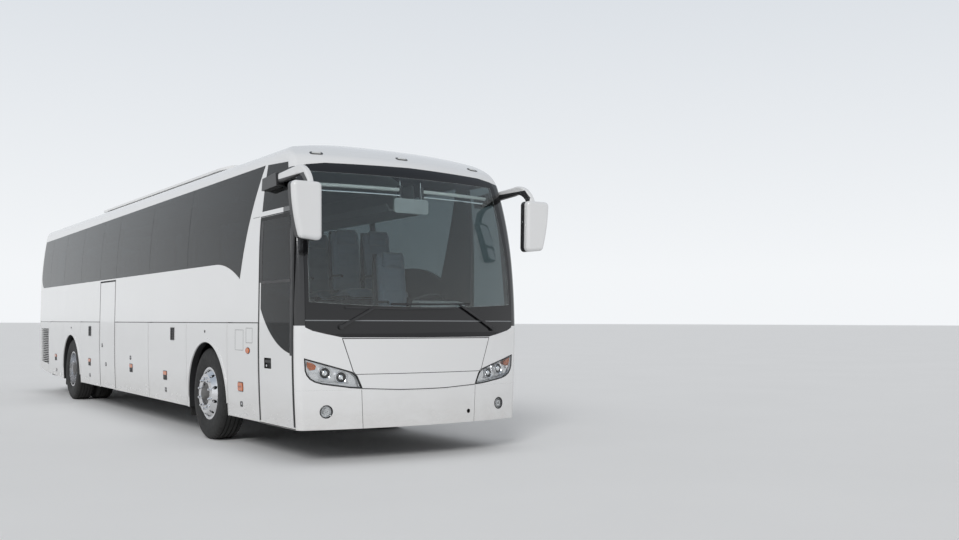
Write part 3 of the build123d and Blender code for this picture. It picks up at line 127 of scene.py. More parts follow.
def connect(tree, value, socket):
    """Link a field into a socket, or set a plain number or colour on it."""
    if isinstance(value, Field):
        tree.links.new(value.socket, socket)
    elif socket.type == "RGBA":
        socket.default_value = (*value, 1.0)
    else:
        socket.default_value = value


def math_node(operation, turned=False):
    """Method of a field that adds one Math node; turned puts the field last."""

    def method(self, *others):
        node = self.tree.nodes.new("ShaderNodeMath")
        node.operation = operation
        for value, socket in zip((*others, self) if turned else (self, *others), node.inputs):
            connect(self.tree, value, socket)
        return Field(self.tree, node.outputs[0])

    return method


class Field:
    """A shader value; each sum done with it adds one Math node."""

    __add__, __mul__ = math_node("ADD"), math_node("MULTIPLY")
    __sub__, __rsub__ = math_node("SUBTRACT"), math_node("SUBTRACT", turned=True)
    __abs__, root = math_node("ABSOLUTE"), math_node("SQRT")
    at_least, at_most = math_node("MAXIMUM"), math_node("MINIMUM")

    def __init__(self, tree, socket):
        self.tree = tree
        self.socket = socket

    def step(self, low, high, to_low=0.0, to_high=1.0):
        """Taken from the range low..high to to_low..to_high, held at both ends."""
        node = self.tree.nodes.new("ShaderNodeMapRange")
        for value, socket in zip((self, low, high, to_low, to_high), node.inputs):
            connect(self.tree, value, socket)
        return Field(self.tree, node.outputs[0])

    def over(self, level, soft=0.001):
        """1 above a level and 0 below it, blended over soft on either side."""
        return self.step(level - soft, level + soft)

    def under(self, level, soft=0.001):
        return self.step(level - soft, level + soft, 1.0, 0.0)


class Graph:
    """Short calls for the nodes of a material or of the world."""

    def __init__(self, tree):
        self.tree = tree
        self.coords = None

    def add(self, kind, output, inputs, **settings):
        """One output of a new node with the given inputs and settings."""
        node = self.tree.nodes.new(kind)
        for key, value in settings.items():
            setattr(node, key, value)
        for key, value in inputs.items():
            connect(self.tree, value, node.inputs[key])
        return Field(self.tree, node.outputs[output])

    def where(self, stretch=None):
        """Object coordinates, stretched by a factor for each axis."""
        if self.coords is None:
            self.coords = self.add("ShaderNodeTexCoord", "Object", {})
        if stretch is None:
            return self.coords
        return self.add("ShaderNodeMapping", "Vector", {"Vector": self.coords, "Scale": stretch})

    def split(self, vector=None):
        node = self.tree.nodes.new("ShaderNodeSeparateXYZ")
        connect(self.tree, vector or self.where(), node.inputs[0])
        return [Field(self.tree, socket) for socket in node.outputs]

    def noise(self, scale, detail=3.0, roughness=0.55, stretch=None):
        inputs = {"Vector": self.where(stretch), "Scale": scale, "Detail": detail, "Roughness": roughness}
        return self.add("ShaderNodeTexNoise", "Fac", inputs)

    def wave(self, scale, axis):
        return self.add(
            "ShaderNodeTexWave", "Fac", {"Vector": self.where(), "Scale": scale}, bands_direction=axis
        )

    def mix(self, share, a, b):
        """Colour a where the share is 0 and b where it is 1."""
        return self.add("ShaderNodeMix", 2, {0: share, 6: a, 7: b}, data_type="RGBA")

    def mottle(self, scale, detail, a, b):
        """Colour that drifts between a and b."""
        return self.mix(self.noise(scale, detail), a, b)


class Material(Graph):
    """A Principled material."""

    def __init__(self, name):
        self.data = bpy.data.materials.new(name)
        self.data.use_nodes = True
        super().__init__(self.data.node_tree)
        self.bsdf = self.tree.nodes["Principled BSDF"]

    def set(self, socket, value):
        """Set or feed a socket of the shader."""
        connect(self.tree, value, self.bsdf.inputs[socket])
        return self

    def rough(self, scale, detail, low, high, start=0.0, end=1.0):
        """Roughness that drifts between low and high, held outside a range of the noise."""
        return self.set("Roughness", self.noise(scale, detail).step(start, end, low, high))

    def coat(self, weight, roughness):
        return self.set("Coat Weight", weight).set("Coat Roughness", roughness)

    def bump(self, height, strength, distance):
        inputs = {"Height": height, "Strength": strength, "Distance": distance}
        return self.set("Normal", self.add("ShaderNodeBump", "Normal", inputs))


def fall(run, radius):
    """How far a circle of a radius has dropped at a run from its top."""
    return radius - (radius**2 - run * run).root()


def nose_reach(x, y):
    """Distance from the upright axis that the front face is turned about."""
    ahead = (y - NOSE_AXIS_Y).at_most(0.0)
    return (x * x + ahead * ahead).root()


def nose_depth(reach, z):
    """How far a point lies behind the front face."""
    return NOSE_RADIUS - fall((z - RAKE_Z).at_least(0.0), RAKE_RADIUS) - reach


def corner_posts(m):
    """1 on the black posts beside the windscreen, 0 elsewhere."""
    x, y, z = m.split()
    mask = abs(x).over(1.079) * z.over(1.29) * (abs(x) * 0.2 + z).under(3.062)
    return mask * nose_depth(nose_reach(x, y), z).under(0.2)


def round_corner(a, b, radius):
    """Depth under two skins that meet in a round corner, from the depths under each."""
    a, b = (radius - a).at_least(0.0), (radius - b).at_least(0.0)
    return radius - (a * a + b * b).root()


def skin_depth(m):
    """How far a point lies under the coach's outer skin."""
    x, y, z = m.split()
    side = HALF_WIDTH - fall((BELT_Z - z).at_least(0.0), LOW_SIDE_RADIUS)
    side = side - fall((z - SILL_Z).at_least(0.0), HIGH_SIDE_RADIUS) - abs(x)
    top = ROOF_Z - fall(abs(x), ROOF_RADIUS) - z
    reach = nose_reach(x, y)
    cap_y, cap_z, cap_radius = CAP_ARC
    across, above = reach - cap_y, z - cap_z
    cap = cap_radius - (across * across + above * above).root()
    front = nose_depth(reach, z).at_most(cap + z.step(2.6, 2.7, 5.0, 0.0))
    front = front - z.step(2.76, 2.8, 0.0, 0.04) * y.under(-4.91, 0.01)
    lean = (z - TAIL_BEND_Z).at_least(0.0)
    back = TAIL_Y - lean * lean * TAIL_RAKE - y
    side = round_corner(side, top, CORNERS["side and roof"])
    side = round_corner(side, front, CORNERS["side and nose"])
    return round_corner(side, back, CORNERS["side and tail"])


def painted_body():
    """White gloss paint on the outer skin; painted shade in black on every face deeper than the skin, as in
    the gaps, and the real black of the posts beside the windscreen.
    """
    m = Material("body_paint")
    z = m.split()[2]
    white = m.mottle(0.9, 2.0, (0.79, 0.79, 0.785), (0.83, 0.83, 0.83))
    road = z.step(0.3, 0.75, 1.0, 0.0) * m.noise(6.0, 6.0, 0.65, (1.0, 0.4, 1.6))
    white = m.mix(road * 0.55, white, (0.42, 0.39, 0.35))
    # Painted shade: black wherever a face lies more than about 3 mm under the skin, so gaps, recesses and
    # the inside of the walls read dark.
    inner = skin_depth(m).step(0.0022, 0.0034)
    # This black is the colour of that painted shade, and also the real black of the posts beside the
    # windscreen.
    black = m.mottle(30.0, 2.0, (0.012, 0.012, 0.013), (0.022, 0.022, 0.023))
    m.set("Base Color", m.mix(inner.at_least(corner_posts(m)), white, black))
    m.set("Roughness", m.noise(3.0, 4.0) * 0.1 + 0.12 + road * 0.25 + inner * 0.45)
    return m.coat(0.6, 0.04).bump(m.noise(28.0, 2.0), 0.04, 0.002).data


def white_trim():
    """White gloss paint of add-on pieces."""
    m = Material("white_trim")
    m.set("Base Color", m.mottle(2.0, 3.0, (0.78, 0.78, 0.775), (0.83, 0.83, 0.83)))
    m.rough(9.0, 4.0, 0.16, 0.32)
    return m.coat(0.5, 0.05).bump(m.noise(40.0, 2.0), 0.05, 0.001).data


def plastic(name, dark, pale, roughness, grain, depth=0.0002):
    """Moulded plastic or satin paint with a fine grain."""
    m = Material(name)
    m.set("Base Color", m.mottle(7.0, 5.0, dark, pale))
    m.rough(20.0, 3.0, roughness - 0.08, roughness + 0.1)
    return m.bump(m.noise(grain, 2.0), 0.25, depth).data


def rubber():
    """Tyre rubber with pale dust on it."""
    m = Material("tyre_rubber")
    dust = m.noise(9.0, 6.0, 0.7).step(0.35, 0.8)
    m.set("Base Color", m.mix(dust, (0.013, 0.013, 0.013), (0.0338, 0.0325, 0.0299)))
    m.rough(30.0, 4.0, 0.62, 0.92)
    return m.bump(m.noise(260.0, 3.0), 0.35, 0.0006).data


def tinted_glass():
    m = Material("side_tint")
    m.set("Base Color", m.mottle(0.6, 2.0, (0.055, 0.072, 0.078), (0.08, 0.102, 0.11)))
    m.rough(4.0, 4.0, 0.015, 0.05, 0.3, 0.9)
    return m.set("Transmission Weight", 1.0).set("IOR", 1.24).data


def screen_glass():
    """Pale green windscreen with its printed black border and lower band."""
    m = Material("screen_glass")
    x, _, z = m.split()
    low_edge = x * x * 0.03 + 1.475
    side_edge = 1.15 - z.step(1.9, 2.87, 0.0, 0.105)
    dark = (low_edge - z).over(0.0, 0.002).at_least(z.over(2.777, 0.002))
    dark = dark.at_least((abs(x) - side_edge).over(0.0, 0.002))
    joint = z.over(1.335, 0.0005) * z.under(1.344, 0.0005)
    shade = m.mix(dark, (0.84, 0.92, 0.91), (0.01, 0.01, 0.011))
    m.set("Base Color", m.mix(joint, shade, (0.22, 0.23, 0.24)))
    m.set("Transmission Weight", dark.step(0.0, 1.0, 1.0, 0.0))
    m.rough(5.0, 4.0, 0.012, 0.035, 0.3, 0.9)
    return m.set("IOR", 1.5).data


def mirror_shell():
    """White in front and on top, black behind and under, with a dark bracket."""
    m = Material("mirror_shell")
    x, y, z = m.split()
    ahead = y * -1.0
    parting = x.step(0.0, 0.01, 2.7, 2.728)
    above = z - parting + (ahead - 6.1).at_least(0.0)
    white = above.over(0.0).at_least(ahead.over(6.185)) * ahead.over(5.515)
    paint = m.mottle(2.0, 3.0, (0.76, 0.76, 0.755), (0.81, 0.81, 0.81))
    moulded = m.mottle(7.0, 5.0, (0.018, 0.018, 0.019), (0.032, 0.032, 0.033))
    m.set("Base Color", m.mix(white, moulded, paint))
    m.set("Roughness", 0.46 - white * 0.22)
    return m.coat(0.3, 0.05).bump(m.noise(300.0, 2.0), 0.1, 0.0002).data


def lamp_shell():
    """Clear outer lens of the front lamps, their bright housing deeper in."""
    m = Material("front_lamp_shell")
    lens = skin_depth(m).step(0.0083, 0.0088, 1.0, 0.0)
    housing = m.mottle(40.0, 3.0, (0.74, 0.74, 0.75), (0.84, 0.84, 0.85))
    m.set("Base Color", m.mix(lens, housing, (0.96, 0.97, 0.97)))
    m.set("Transmission Weight", lens).set("Metallic", 1.0 - lens)
    return m.set("Roughness", 0.3 - lens * 0.27).set("IOR", 1.49).data


def tail_lamp_shell():
    """Stacked amber, red, clear and red fields with fine moulded prisms."""
    m = Material("tail_lamp_shell")
    z = m.split()[2]
    red = m.mottle(35.0, 2.0, (0.4, 0.012, 0.01), (0.58, 0.022, 0.015))
    amber = m.mottle(35.0, 2.0, (0.78, 0.22, 0.02), (0.9, 0.3, 0.03))
    clear = m.mottle(35.0, 2.0, (0.66, 0.66, 0.65), (0.78, 0.78, 0.77))
    shade = m.mix(z.over(1.26), red, amber)
    shade = m.mix(z.over(0.94) * z.under(1.05), shade, clear)
    shade = m.mix(m.wave(3.125, "Z").step(0.985, 0.99), shade, (0.02, 0.004, 0.004))
    m.set("Base Color", m.mix(skin_depth(m).step(0.0083, 0.0088), shade, (0.05, 0.05, 0.05)))
    m.rough(90.0, 2.0, 0.1, 0.22)
    return m.coat(0.8, 0.03).bump(m.wave(60.0, "X"), 0.3, 0.0012).data


def clear_lens():
    m = Material("clear_lens")
    m.set("Base Color", m.mottle(14.0, 3.0, (0.96, 0.97, 0.97), (0.8928, 0.9021, 0.9021)))
    m.rough(60.0, 2.0, 0.03, 0.08)
    return m.set("Transmission Weight", 1.0).set("IOR", 1.49).data


def lamp_colour(name, dark, pale):
    """Coloured lamp plastic with moulded prisms."""
    m = Material(name)
    m.set("Base Color", m.mottle(35.0, 2.0, dark, pale))
    m.rough(90.0, 2.0, 0.1, 0.24)
    return m.coat(0.8, 0.03).bump(m.wave(110.0, "Z"), 0.35, 0.0012).data


def metal(name, colour, roughness, streak):
    m = Material(name)
    m.set("Metallic", 1.0)
    m.set("Base Color", m.mottle(11.0, 5.0, tuple(c * 0.86 for c in colour), colour))
    m.set("Roughness", m.noise(40.0, 5.0, 0.65).step(0.25, 0.85, roughness, roughness + streak))
    return m.bump(m.noise(320.0, 2.0), 0.1, 0.0002).data


def seat_cloth():
    """Blue-grey moquette with a fine woven rib and a soft pile."""
    m = Material("seat_cloth")
    base = m.mottle(18.0, 4.0, (0.165, 0.205, 0.265), (0.225, 0.27, 0.34))
    weave = m.wave(420.0, "X") * m.wave(420.0, "Z")
    m.set("Base Color", m.mix(weave * 0.35, base, (0.42, 0.46, 0.52)))
    m.set("Roughness", 0.9).set("Sheen Weight", 0.5).set("Sheen Roughness", 0.5)
    return m.bump(weave, 0.3, 0.0006).data


PAINT = painted_body()
WHITE_TRIM = white_trim()
TINT = tinted_glass()
SCREEN = screen_glass()
RUBBER = rubber()
SEAL = plastic("seal_rubber", (0.012, 0.012, 0.012), (0.022, 0.022, 0.022), 0.62, 300.0)
BLACK = plastic("black_plastic", (0.018, 0.018, 0.019), (0.032, 0.032, 0.033), 0.42, 500.0)
GLOSS_BLACK = plastic("gloss_black", (0.008, 0.008, 0.009), (0.014, 0.014, 0.015), 0.16, 60.0, 0.0001)
STEEL = plastic("black_steel", (0.03, 0.03, 0.031), (0.065, 0.06, 0.055), 0.55, 180.0, 0.0006)
DASH_GREY = plastic("dash_grey", (0.38, 0.4, 0.41), (0.44, 0.46, 0.47), 0.6, 700.0, 0.0005)
FLOOR_GREY = plastic("floor_covering", (0.1, 0.105, 0.115), (0.16, 0.165, 0.175), 0.7, 240.0, 0.0008)
TRIM_GREY = plastic("trim_grey", (0.4, 0.41, 0.42), (0.47, 0.48, 0.49), 0.65, 420.0, 0.0004)
IRON = plastic("cast_iron", (0.1, 0.1, 0.1), (0.17, 0.165, 0.16), 0.65, 120.0, 0.0012)
CLOTH = seat_cloth()
ALLOY = metal("polished_alloy", (0.8, 0.8, 0.81), 0.16, 0.14)
BRIGHT = metal("bright_chrome", (0.86, 0.86, 0.87), 0.06, 0.06)
MIRROR = metal("mirror_face", (0.9, 0.91, 0.92), 0.01, 0.01)
LENS = clear_lens()
AMBER = lamp_colour("amber_lens", (0.55, 0.105, 0.01), (0.72, 0.17, 0.018))
RED = lamp_colour("red_lens", (0.42, 0.012, 0.01), (0.6, 0.022, 0.015))
PALE_LENS = lamp_colour("pale_lens", (0.68, 0.68, 0.66), (0.8, 0.8, 0.78))
MIRROR_SHELL = mirror_shell()
LAMP_SHELL = lamp_shell()
TAIL_SHELL = tail_lamp_shell()


# ---- Mesh making


def linked(name, data):
    """New object in the scene."""
    item = bpy.data.objects.new(name, data)
    scene.collection.objects.link(item)
    return item


def turns(count):
    """Angles spread evenly round a circle."""
    return [2 * math.pi * k / count for k in range(count)]


class Shape:
    """A mesh put together from simple solids, then made into one piece.

    A mark is the index of a material in the list that make is given.
    """

    def __init__(self):
        self.verts, self.faces, self.marks = [], [], []

    def rings(self, rings, place=None, mark=0, closed=False):
        """Skin through rings of equal length, which ends in caps or joins up with itself."""
        base = len(self.verts)
        place = place or Matrix.Identity(4)
        self.verts += [tuple(place @ Vector(v)) for ring in rings for v in ring]
        n, count = len(rings[0]), len(rings)
        faces = []
        for i in range(count if closed else count - 1):
            j = (i + 1) % count
            for k in range(n):
                m = (k + 1) % n
                faces.append([i * n + k, i * n + m, j * n + m, j * n + k])
        if not closed:
            faces.append(list(range(n))[::-1])
            faces.append([(count - 1) * n + k for k in range(n)])
        order = -1 if place.determinant() < 0 else 1
        self.faces += [[base + i for i in face][::order] for face in faces]
        self.marks += [mark] * len(faces)
        return self

    def lathe(self, profile, segments, place=None, mark=0, ripple=None):
        """Closed profile of (out, radius) turned about X."""
        rings = []
        for i, a in enumerate(turns(segments)):
            ring = []
            for k, (out, r) in enumerate(profile):
                if ripple:
                    out, r = ripple(i, k, out, r)
                ring.append((out, -r * math.sin(a), r * math.cos(a)))
            rings.append(ring)
        return self.rings(rings, place, mark, closed=True)

    def turned(self, profile, place, segments=40, mark=0):
        """Closed profile of (radius, out) turned about the z axis of a frame."""
        turn = place @ basis((0, 0, 0), (0, 0, 1), (1, 0, 0), (0, 1, 0))
        return self.lathe([(out, r) for r, out in profile], segments, turn, mark)

    def box(self, low, high, place=None, mark=0):
        (x0, y0, z0), (x1, y1, z1) = low, high
        rings = [[(x0, y0, z), (x1, y0, z), (x1, y1, z), (x0, y1, z)] for z in (z0, z1)]
        return self.rings(rings, place, mark)

    def prism(self, outline, low, high, place=None, mark=0, chamfer=0.0):
        """Outline of (x, y) points raised from low to high, its top edge drawn in by chamfer."""
        pts = [Vector(p) for p in outline]
        mid = sum(pts, Vector((0, 0))) / len(pts)
        rings = [[(p.x, p.y, low) for p in pts]]
        if chamfer:
            rings.append([(p.x, p.y, high - chamfer) for p in pts])
            size = max((p - mid).length for p in pts)
            pts = [mid + (p - mid) * (1 - chamfer / size) for p in pts]
        rings.append([(p.x, p.y, high) for p in pts])
        return self.rings(rings, place, mark)

    def plate(self, size, low, high, place=None, mark=0, chamfer=0.0, centre=(0.0, 0.0)):
        """Prism over a rectangle; size is its width, height and corner radius."""
        return self.prism(rounded_rect(*size, centre), low, high, place, mark, chamfer)

    def tube(self, path, radius, sides, place=None, mark=0):
        """Round bar along a path of points."""
        path = [Vector(p) for p in path]
        rings, side = [], None
        for i, p in enumerate(path):
            ahead = (path[min(i + 1, len(path) - 1)] - path[max(i - 1, 0)]).normalized()
            side = side or ahead.orthogonal().normalized()
            side = (side - ahead * side.dot(ahead)).normalized()
            up = ahead.cross(side)
            rings.append([p + (side * math.cos(a) + up * math.sin(a)) * radius for a in turns(sides)])
        return self.rings(rings, place, mark)

    def mesh(self, name):
        mesh = bpy.data.meshes.new(name)
        mesh.from_pydata(self.verts, [], self.faces)
        return mesh

    def make(self, name, materials, body="root", slot="black_plastic", bevel=0.0, smooth=38.0):
        """Turn the shape into a piece that rides on a body."""
        mesh = self.mesh(name)
        for material in materials:
            mesh.materials.append(material)
        for polygon, mark in zip(mesh.polygons, self.marks):
            polygon.material_index = mark
        work = bmesh.new()
        work.from_mesh(mesh)
        bmesh.ops.recalc_face_normals(work, faces=work.faces)
        if bevel:
            sharp = [e for e in work.edges if e.is_manifold and e.calc_face_angle(0.0) > BEVEL_FROM]
            bmesh.ops.bevel(
                work, geom=sharp, offset=bevel, segments=2, profile=0.5, affect="EDGES", clamp_overlap=True
            )
        for face in work.faces:
            face.smooth = True
        for edge in work.edges:
            edge.smooth = edge.calc_face_angle(0.0) < math.radians(smooth)
        work.to_mesh(mesh)
        work.free()
        piece = linked(name, mesh)
        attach(piece, body)
        return piece


def circle(radius, count, centre=(0.0, 0.0)):
    return [(centre[0] + radius * math.cos(a), centre[1] + radius * math.sin(a)) for a in turns(count)]


def rounded_rect(width, height, radius, centre=(0.0, 0.0)):
    points = []
    for cx, cy, start in ((1, 1, 0), (-1, 1, 90), (-1, -1, 180), (1, -1, 270)):
        for k in range(CORNER_STEPS + 1):
            a = math.radians(start + 90 * k / CORNER_STEPS)
            x = centre[0] + cx * (width / 2 - radius) + radius * math.cos(a)
            points.append((x, centre[1] + cy * (height / 2 - radius) + radius * math.sin(a)))
    return points


def basis(origin, x_dir, y_dir, z_dir):
    """Matrix that takes local axes to the given directions at an origin."""
    m = Matrix.Identity(4)
    for i, column in enumerate((x_dir, y_dir, z_dir)):
        m.col[i][:3] = Vector(column).normalized()
    m.col[3][:3] = origin
    return m


def shifted(place, x, y, z, turn=0.0, axis="Z"):
    """A frame moved along its own axes, then turned by degrees about one of them."""
    return place @ Matrix.Translation((x, y, z)) @ Matrix.Rotation(math.radians(turn), 4, axis)


def on_flank(side, y, z, out=0.0):
    """Frame on a flank: local x runs rearwards, y up and z out of the skin."""
    back = Vector((0, 1, 0))
    up = Vector((side * (half_width(z + NEAR) - half_width(z - NEAR)), 0, 2 * NEAR)).normalized()
    outward = back.cross(up).normalized() * side
    return basis(Vector((side * half_width(z), y, z)) + outward * out, back, up, outward)


def on_nose(x, z, out=0.0):
    """Frame on the front face: local x runs to +X, y up and z out of the skin."""
    right = Vector((2 * NEAR, nose_y(x + NEAR, z) - nose_y(x - NEAR, z), 0)).normalized()
    up = Vector((0, nose_y(x, z + NEAR) - nose_y(x, z - NEAR), 2 * NEAR)).normalized()
    outward = right.cross(up).normalized()
    return basis(Vector((x, nose_y(x, z), z)) + outward * out, right, outward.cross(right), outward)


def tail_y(z):
    return TAIL_Y - max(0.0, z - TAIL_BEND_Z) ** 2 * TAIL_RAKE


def on_tail(x, z):
    """Frame on the flat of the rear face: local x runs to -X, y up and z rearwards."""
    rise = Vector((0, tail_y(z + NEAR) - tail_y(z - NEAR), 2 * NEAR)).normalized()
    return basis((x, tail_y(z), z), (-1, 0, 0), rise, Vector((-1, 0, 0)).cross(rise))


def skin_tree(node):
    """Tree of a node's faces, for rays that look for its skin."""
    mesh = nodes[node].data
    return BVHTree.FromPolygons([v.co for v in mesh.vertices], [tuple(p.vertices) for p in mesh.polygons])


CORNER_STEPS = 4
BEVEL_FROM = math.radians(30)
NEAR = 0.001
SIDES = ((1, "left"), (-1, "right"))


# ---- CAD nodes keep their shape and get their finish

FINISH = {
    "body_white": PAINT,
    "steel_black": STEEL,
    "floor_grey": FLOOR_GREY,
    "side_tint": TINT,
    "screen_glass": SCREEN,
    "iron": IRON,
    "tank_plastic": BLACK,
    "lamp_clear": LENS,
    "lamp_red": RED,
    "black_plastic": BLACK,
    "dash_grey": DASH_GREY,
    "seat_cloth": CLOTH,
    "rim_alloy": ALLOY,
    "tyre_rubber": RUBBER,
}
SPECIAL = {
    "roof_unit": WHITE_TRIM,
    "radiator_grille": WHITE_TRIM,
    "luggage_racks": TRIM_GREY,
    "rear_axle": STEEL,
    "mirrors": MIRROR_SHELL,
    "front_lamps": LAMP_SHELL,
    "tail_lamps": TAIL_SHELL,
}
for part in frame["record"]["subparts"]:
    node = nodes[part["node"]]
    node.data.materials.clear()
    node.data.materials.append(SPECIAL.get(part["node"], FINISH[part["material_slot"]]))


# ---- Wheels: ribbed tyres with notched shoulders, nuts and hub covers

TYRE_WALL = [
    (0.112, 0.2865), (0.121, 0.2925), (0.129, 0.305), (0.134, 0.318), (0.1352, 0.322), (0.1385, 0.33),
    (0.1405, 0.35), (0.1435, 0.378), (0.1448, 0.384), (0.1448, 0.42), (0.1435, 0.426), (0.1415, 0.445),
    (0.1395, 0.46), (0.1345, 0.476), (0.128, 0.49), (0.124, 0.497),
]
TREAD_R, GROOVE_R = 0.515, 0.501
GROOVES = [
    (out + d, r)
    for out in (-0.072, -0.026, 0.026, 0.072)
    for d, r in ((-0.0065, TREAD_R), (-0.0045, GROOVE_R), (0.0045, GROOVE_R), (0.0065, TREAD_R))
]
TREAD = [(-0.112, 0.5085), (-0.104, 0.512)] + GROOVES + [(0.104, 0.512), (0.112, 0.5085)]
TYRE_PROFILE = [(-out, r) for out, r in TYRE_WALL] + TREAD + TYRE_WALL[::-1]
SHOULDER = {i for i, (out, r) in enumerate(TYRE_PROFILE) if abs(out) > 0.1 and r > 0.495}
TREAD_SEGMENTS = 192
FRONT_HUB = [
    (0.1352, 0.047), (0.1352, 0.124), (0.146, 0.122), (0.152, 0.104), (0.156, 0.072), (0.186, 0.066),
    (0.198, 0.056), (0.203, 0.03), (0.204, 0.001), (0.138, 0.001), (0.138, 0.047),
]
REAR_HUB = [
    (0.0905, 0.001), (0.0905, 0.108), (0.098, 0.106), (0.104, 0.092), (0.108, 0.06), (0.118, 0.052),
    (0.122, 0.03), (0.123, 0.001),
]
# End, axle, tyres' shifts inwards, nuts' seat and height, hub, its screws' circle and seat
WHEELS = (
    ("front", FRONT_AXLE_Y, (0,), 0.1655, 0.026, FRONT_HUB, 0.112, 0.15),
    ("rear", REAR_AXLE_Y, (0, TWIN_PITCH), -0.1455, 0.03, REAR_HUB, 0.096, 0.101),
)
BOLTS, BOLT_CIRCLE = 10, 0.1675


def tread_ripple(i, k, out, r):
    if k in SHOULDER and i % 4 == 0:
        return out * 0.985, r - 0.006
    if r > 0.513 and i % 2 == 0:
        return out, r - 0.0012
    return out, r


def bolt_frames(x, axle_y, radius, side, start):
    """Frames that face out of a wheel, spread round a circle."""
    for k in range(BOLTS):
        a = 2 * math.pi * (k + start) / BOLTS
        origin = (x, axle_y + radius * math.cos(a), HUB_Z + radius * math.sin(a))
        yield basis(origin, (0, 1, 0), (0, 0, side), (side, 0, 0))


for side, word in SIDES:
    face = side * WHEEL_X
    for end, axle_y, shifts, nut_seat, nut_height, profile, screw_circle, screw_seat in WHEELS:
        body, plural = f"{end}_{word}_wheel", "s" if len(shifts) > 1 else ""
        tyre = Shape()
        for shift in shifts:
            centre = Matrix.Translation((side * (WHEEL_X - shift), axle_y, HUB_Z))
            tyre.lathe(TYRE_PROFILE, TREAD_SEGMENTS, centre, ripple=tread_ripple)
        tread = tyre.make(f"{end}_{word}_tread{plural}", [RUBBER], body, "tyre_rubber", smooth=32.0)
        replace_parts(tread, f"{end}_{word}_tyre{plural}")
        nuts = Shape()
        for place in bolt_frames(face + side * nut_seat, axle_y, BOLT_CIRCLE, side, 0.5):
            nuts.prism(circle(0.0205, 20), -0.001, 0.004, place, chamfer=0.0012)
            nuts.prism(circle(0.0165, 6), 0.003, nut_height, place, chamfer=0.003)
            nuts.prism(circle(0.01, 14), nut_height - 0.003, nut_height + 0.006, place, chamfer=0.003)
        nuts.make(f"{end}_{word}_nuts", [BRIGHT], body, "rim_alloy")
        hub = Shape().lathe(profile, 48, basis((face, axle_y, HUB_Z), (side, 0, 0), (0, side, 0), (0, 0, 1)))
        for place in bolt_frames(face + side * screw_seat, axle_y, screw_circle, side, 0.0):
            hub.prism(circle(0.009, 6), 0.0, 0.008, place, chamfer=0.002)
        hub.make(f"{end}_{word}_hub", [IRON], body, "iron")


# ---- Lamps, drawn as outlines (x, z) on the skin of the +X side

HEADLAMP = [
    (1.192, 0.985), (1.05, 0.943), (0.95, 0.914), (0.86, 0.888), (0.742, 0.852), (0.697, 0.806),
    (0.672, 0.749), (0.652, 0.697), (0.764, 0.706), (0.86, 0.72), (0.953, 0.733), (1.028, 0.745),
    (1.095, 0.765), (1.14, 0.792), (1.168, 0.828), (1.184, 0.87),
]
LAMP_DEPTH = 0.044
# Plates inside the lamp: outline, low, high, mark
LAMP_PLATES = (
    ([(1.168, 0.955), (1.108, 0.937), (1.082, 0.915), (1.092, 0.88), (1.138, 0.872), (1.164, 0.905)],
     -0.04, -0.016, 3),
    ([(1.15, 0.85), (1.072, 0.845), (1.072, 0.79), (1.12, 0.8), (1.146, 0.826)],
     -0.04, -0.024, 4),
    ([(0.775, 0.838), (0.745, 0.826), (0.716, 0.792), (0.7, 0.735), (0.77, 0.742), (0.785, 0.79)],
     -0.042, -0.026, 4),
)


def drawn_in(outline, amount):
    """Closed outline moved inwards by amount, each corner along its own bisector."""
    pts = [Vector(p) for p in outline]
    area = sum(a.x * b.y - b.x * a.y for a, b in zip(pts, pts[1:] + pts[:1]))
    turn = 1 if area > 0 else -1
    moved = []
    for i, p in enumerate(pts):
        a = (p - pts[i - 1]).normalized()
        b = (pts[(i + 1) % len(pts)] - p).normalized()
        normal = (Vector((-a.y, a.x)) + Vector((-b.y, b.x))).normalized() * turn
        half = max(0.5, math.sqrt(max(0.0, (1 + a.dot(b)) / 2)))
        moved.append(p + normal * amount / half)
    return moved


def dense(outline, length=0.02):
    points = []
    for a, b in zip(outline, list(outline[1:]) + [outline[0]]):
        a, b = Vector(a), Vector(b)
        count = max(1, round((b - a).length / length))
        points += [a.lerp(b, k / count) for k in range(count)]
    return points


def nose_point(p, out):
    return on_nose(p[0], p[1], out).translation


def nose_ring(shape, outline, width, low, high):
    """Band of a given width inside an outline on the front face, from low to high out of the skin."""
    outer, rings = dense(outline), []
    for o, i in zip(outer, drawn_in(outer, width)):
        rings.append([nose_point(o, low), nose_point(o, high), nose_point(i, high), nose_point(i, low)])
    return shape.rings(rings, closed=True)


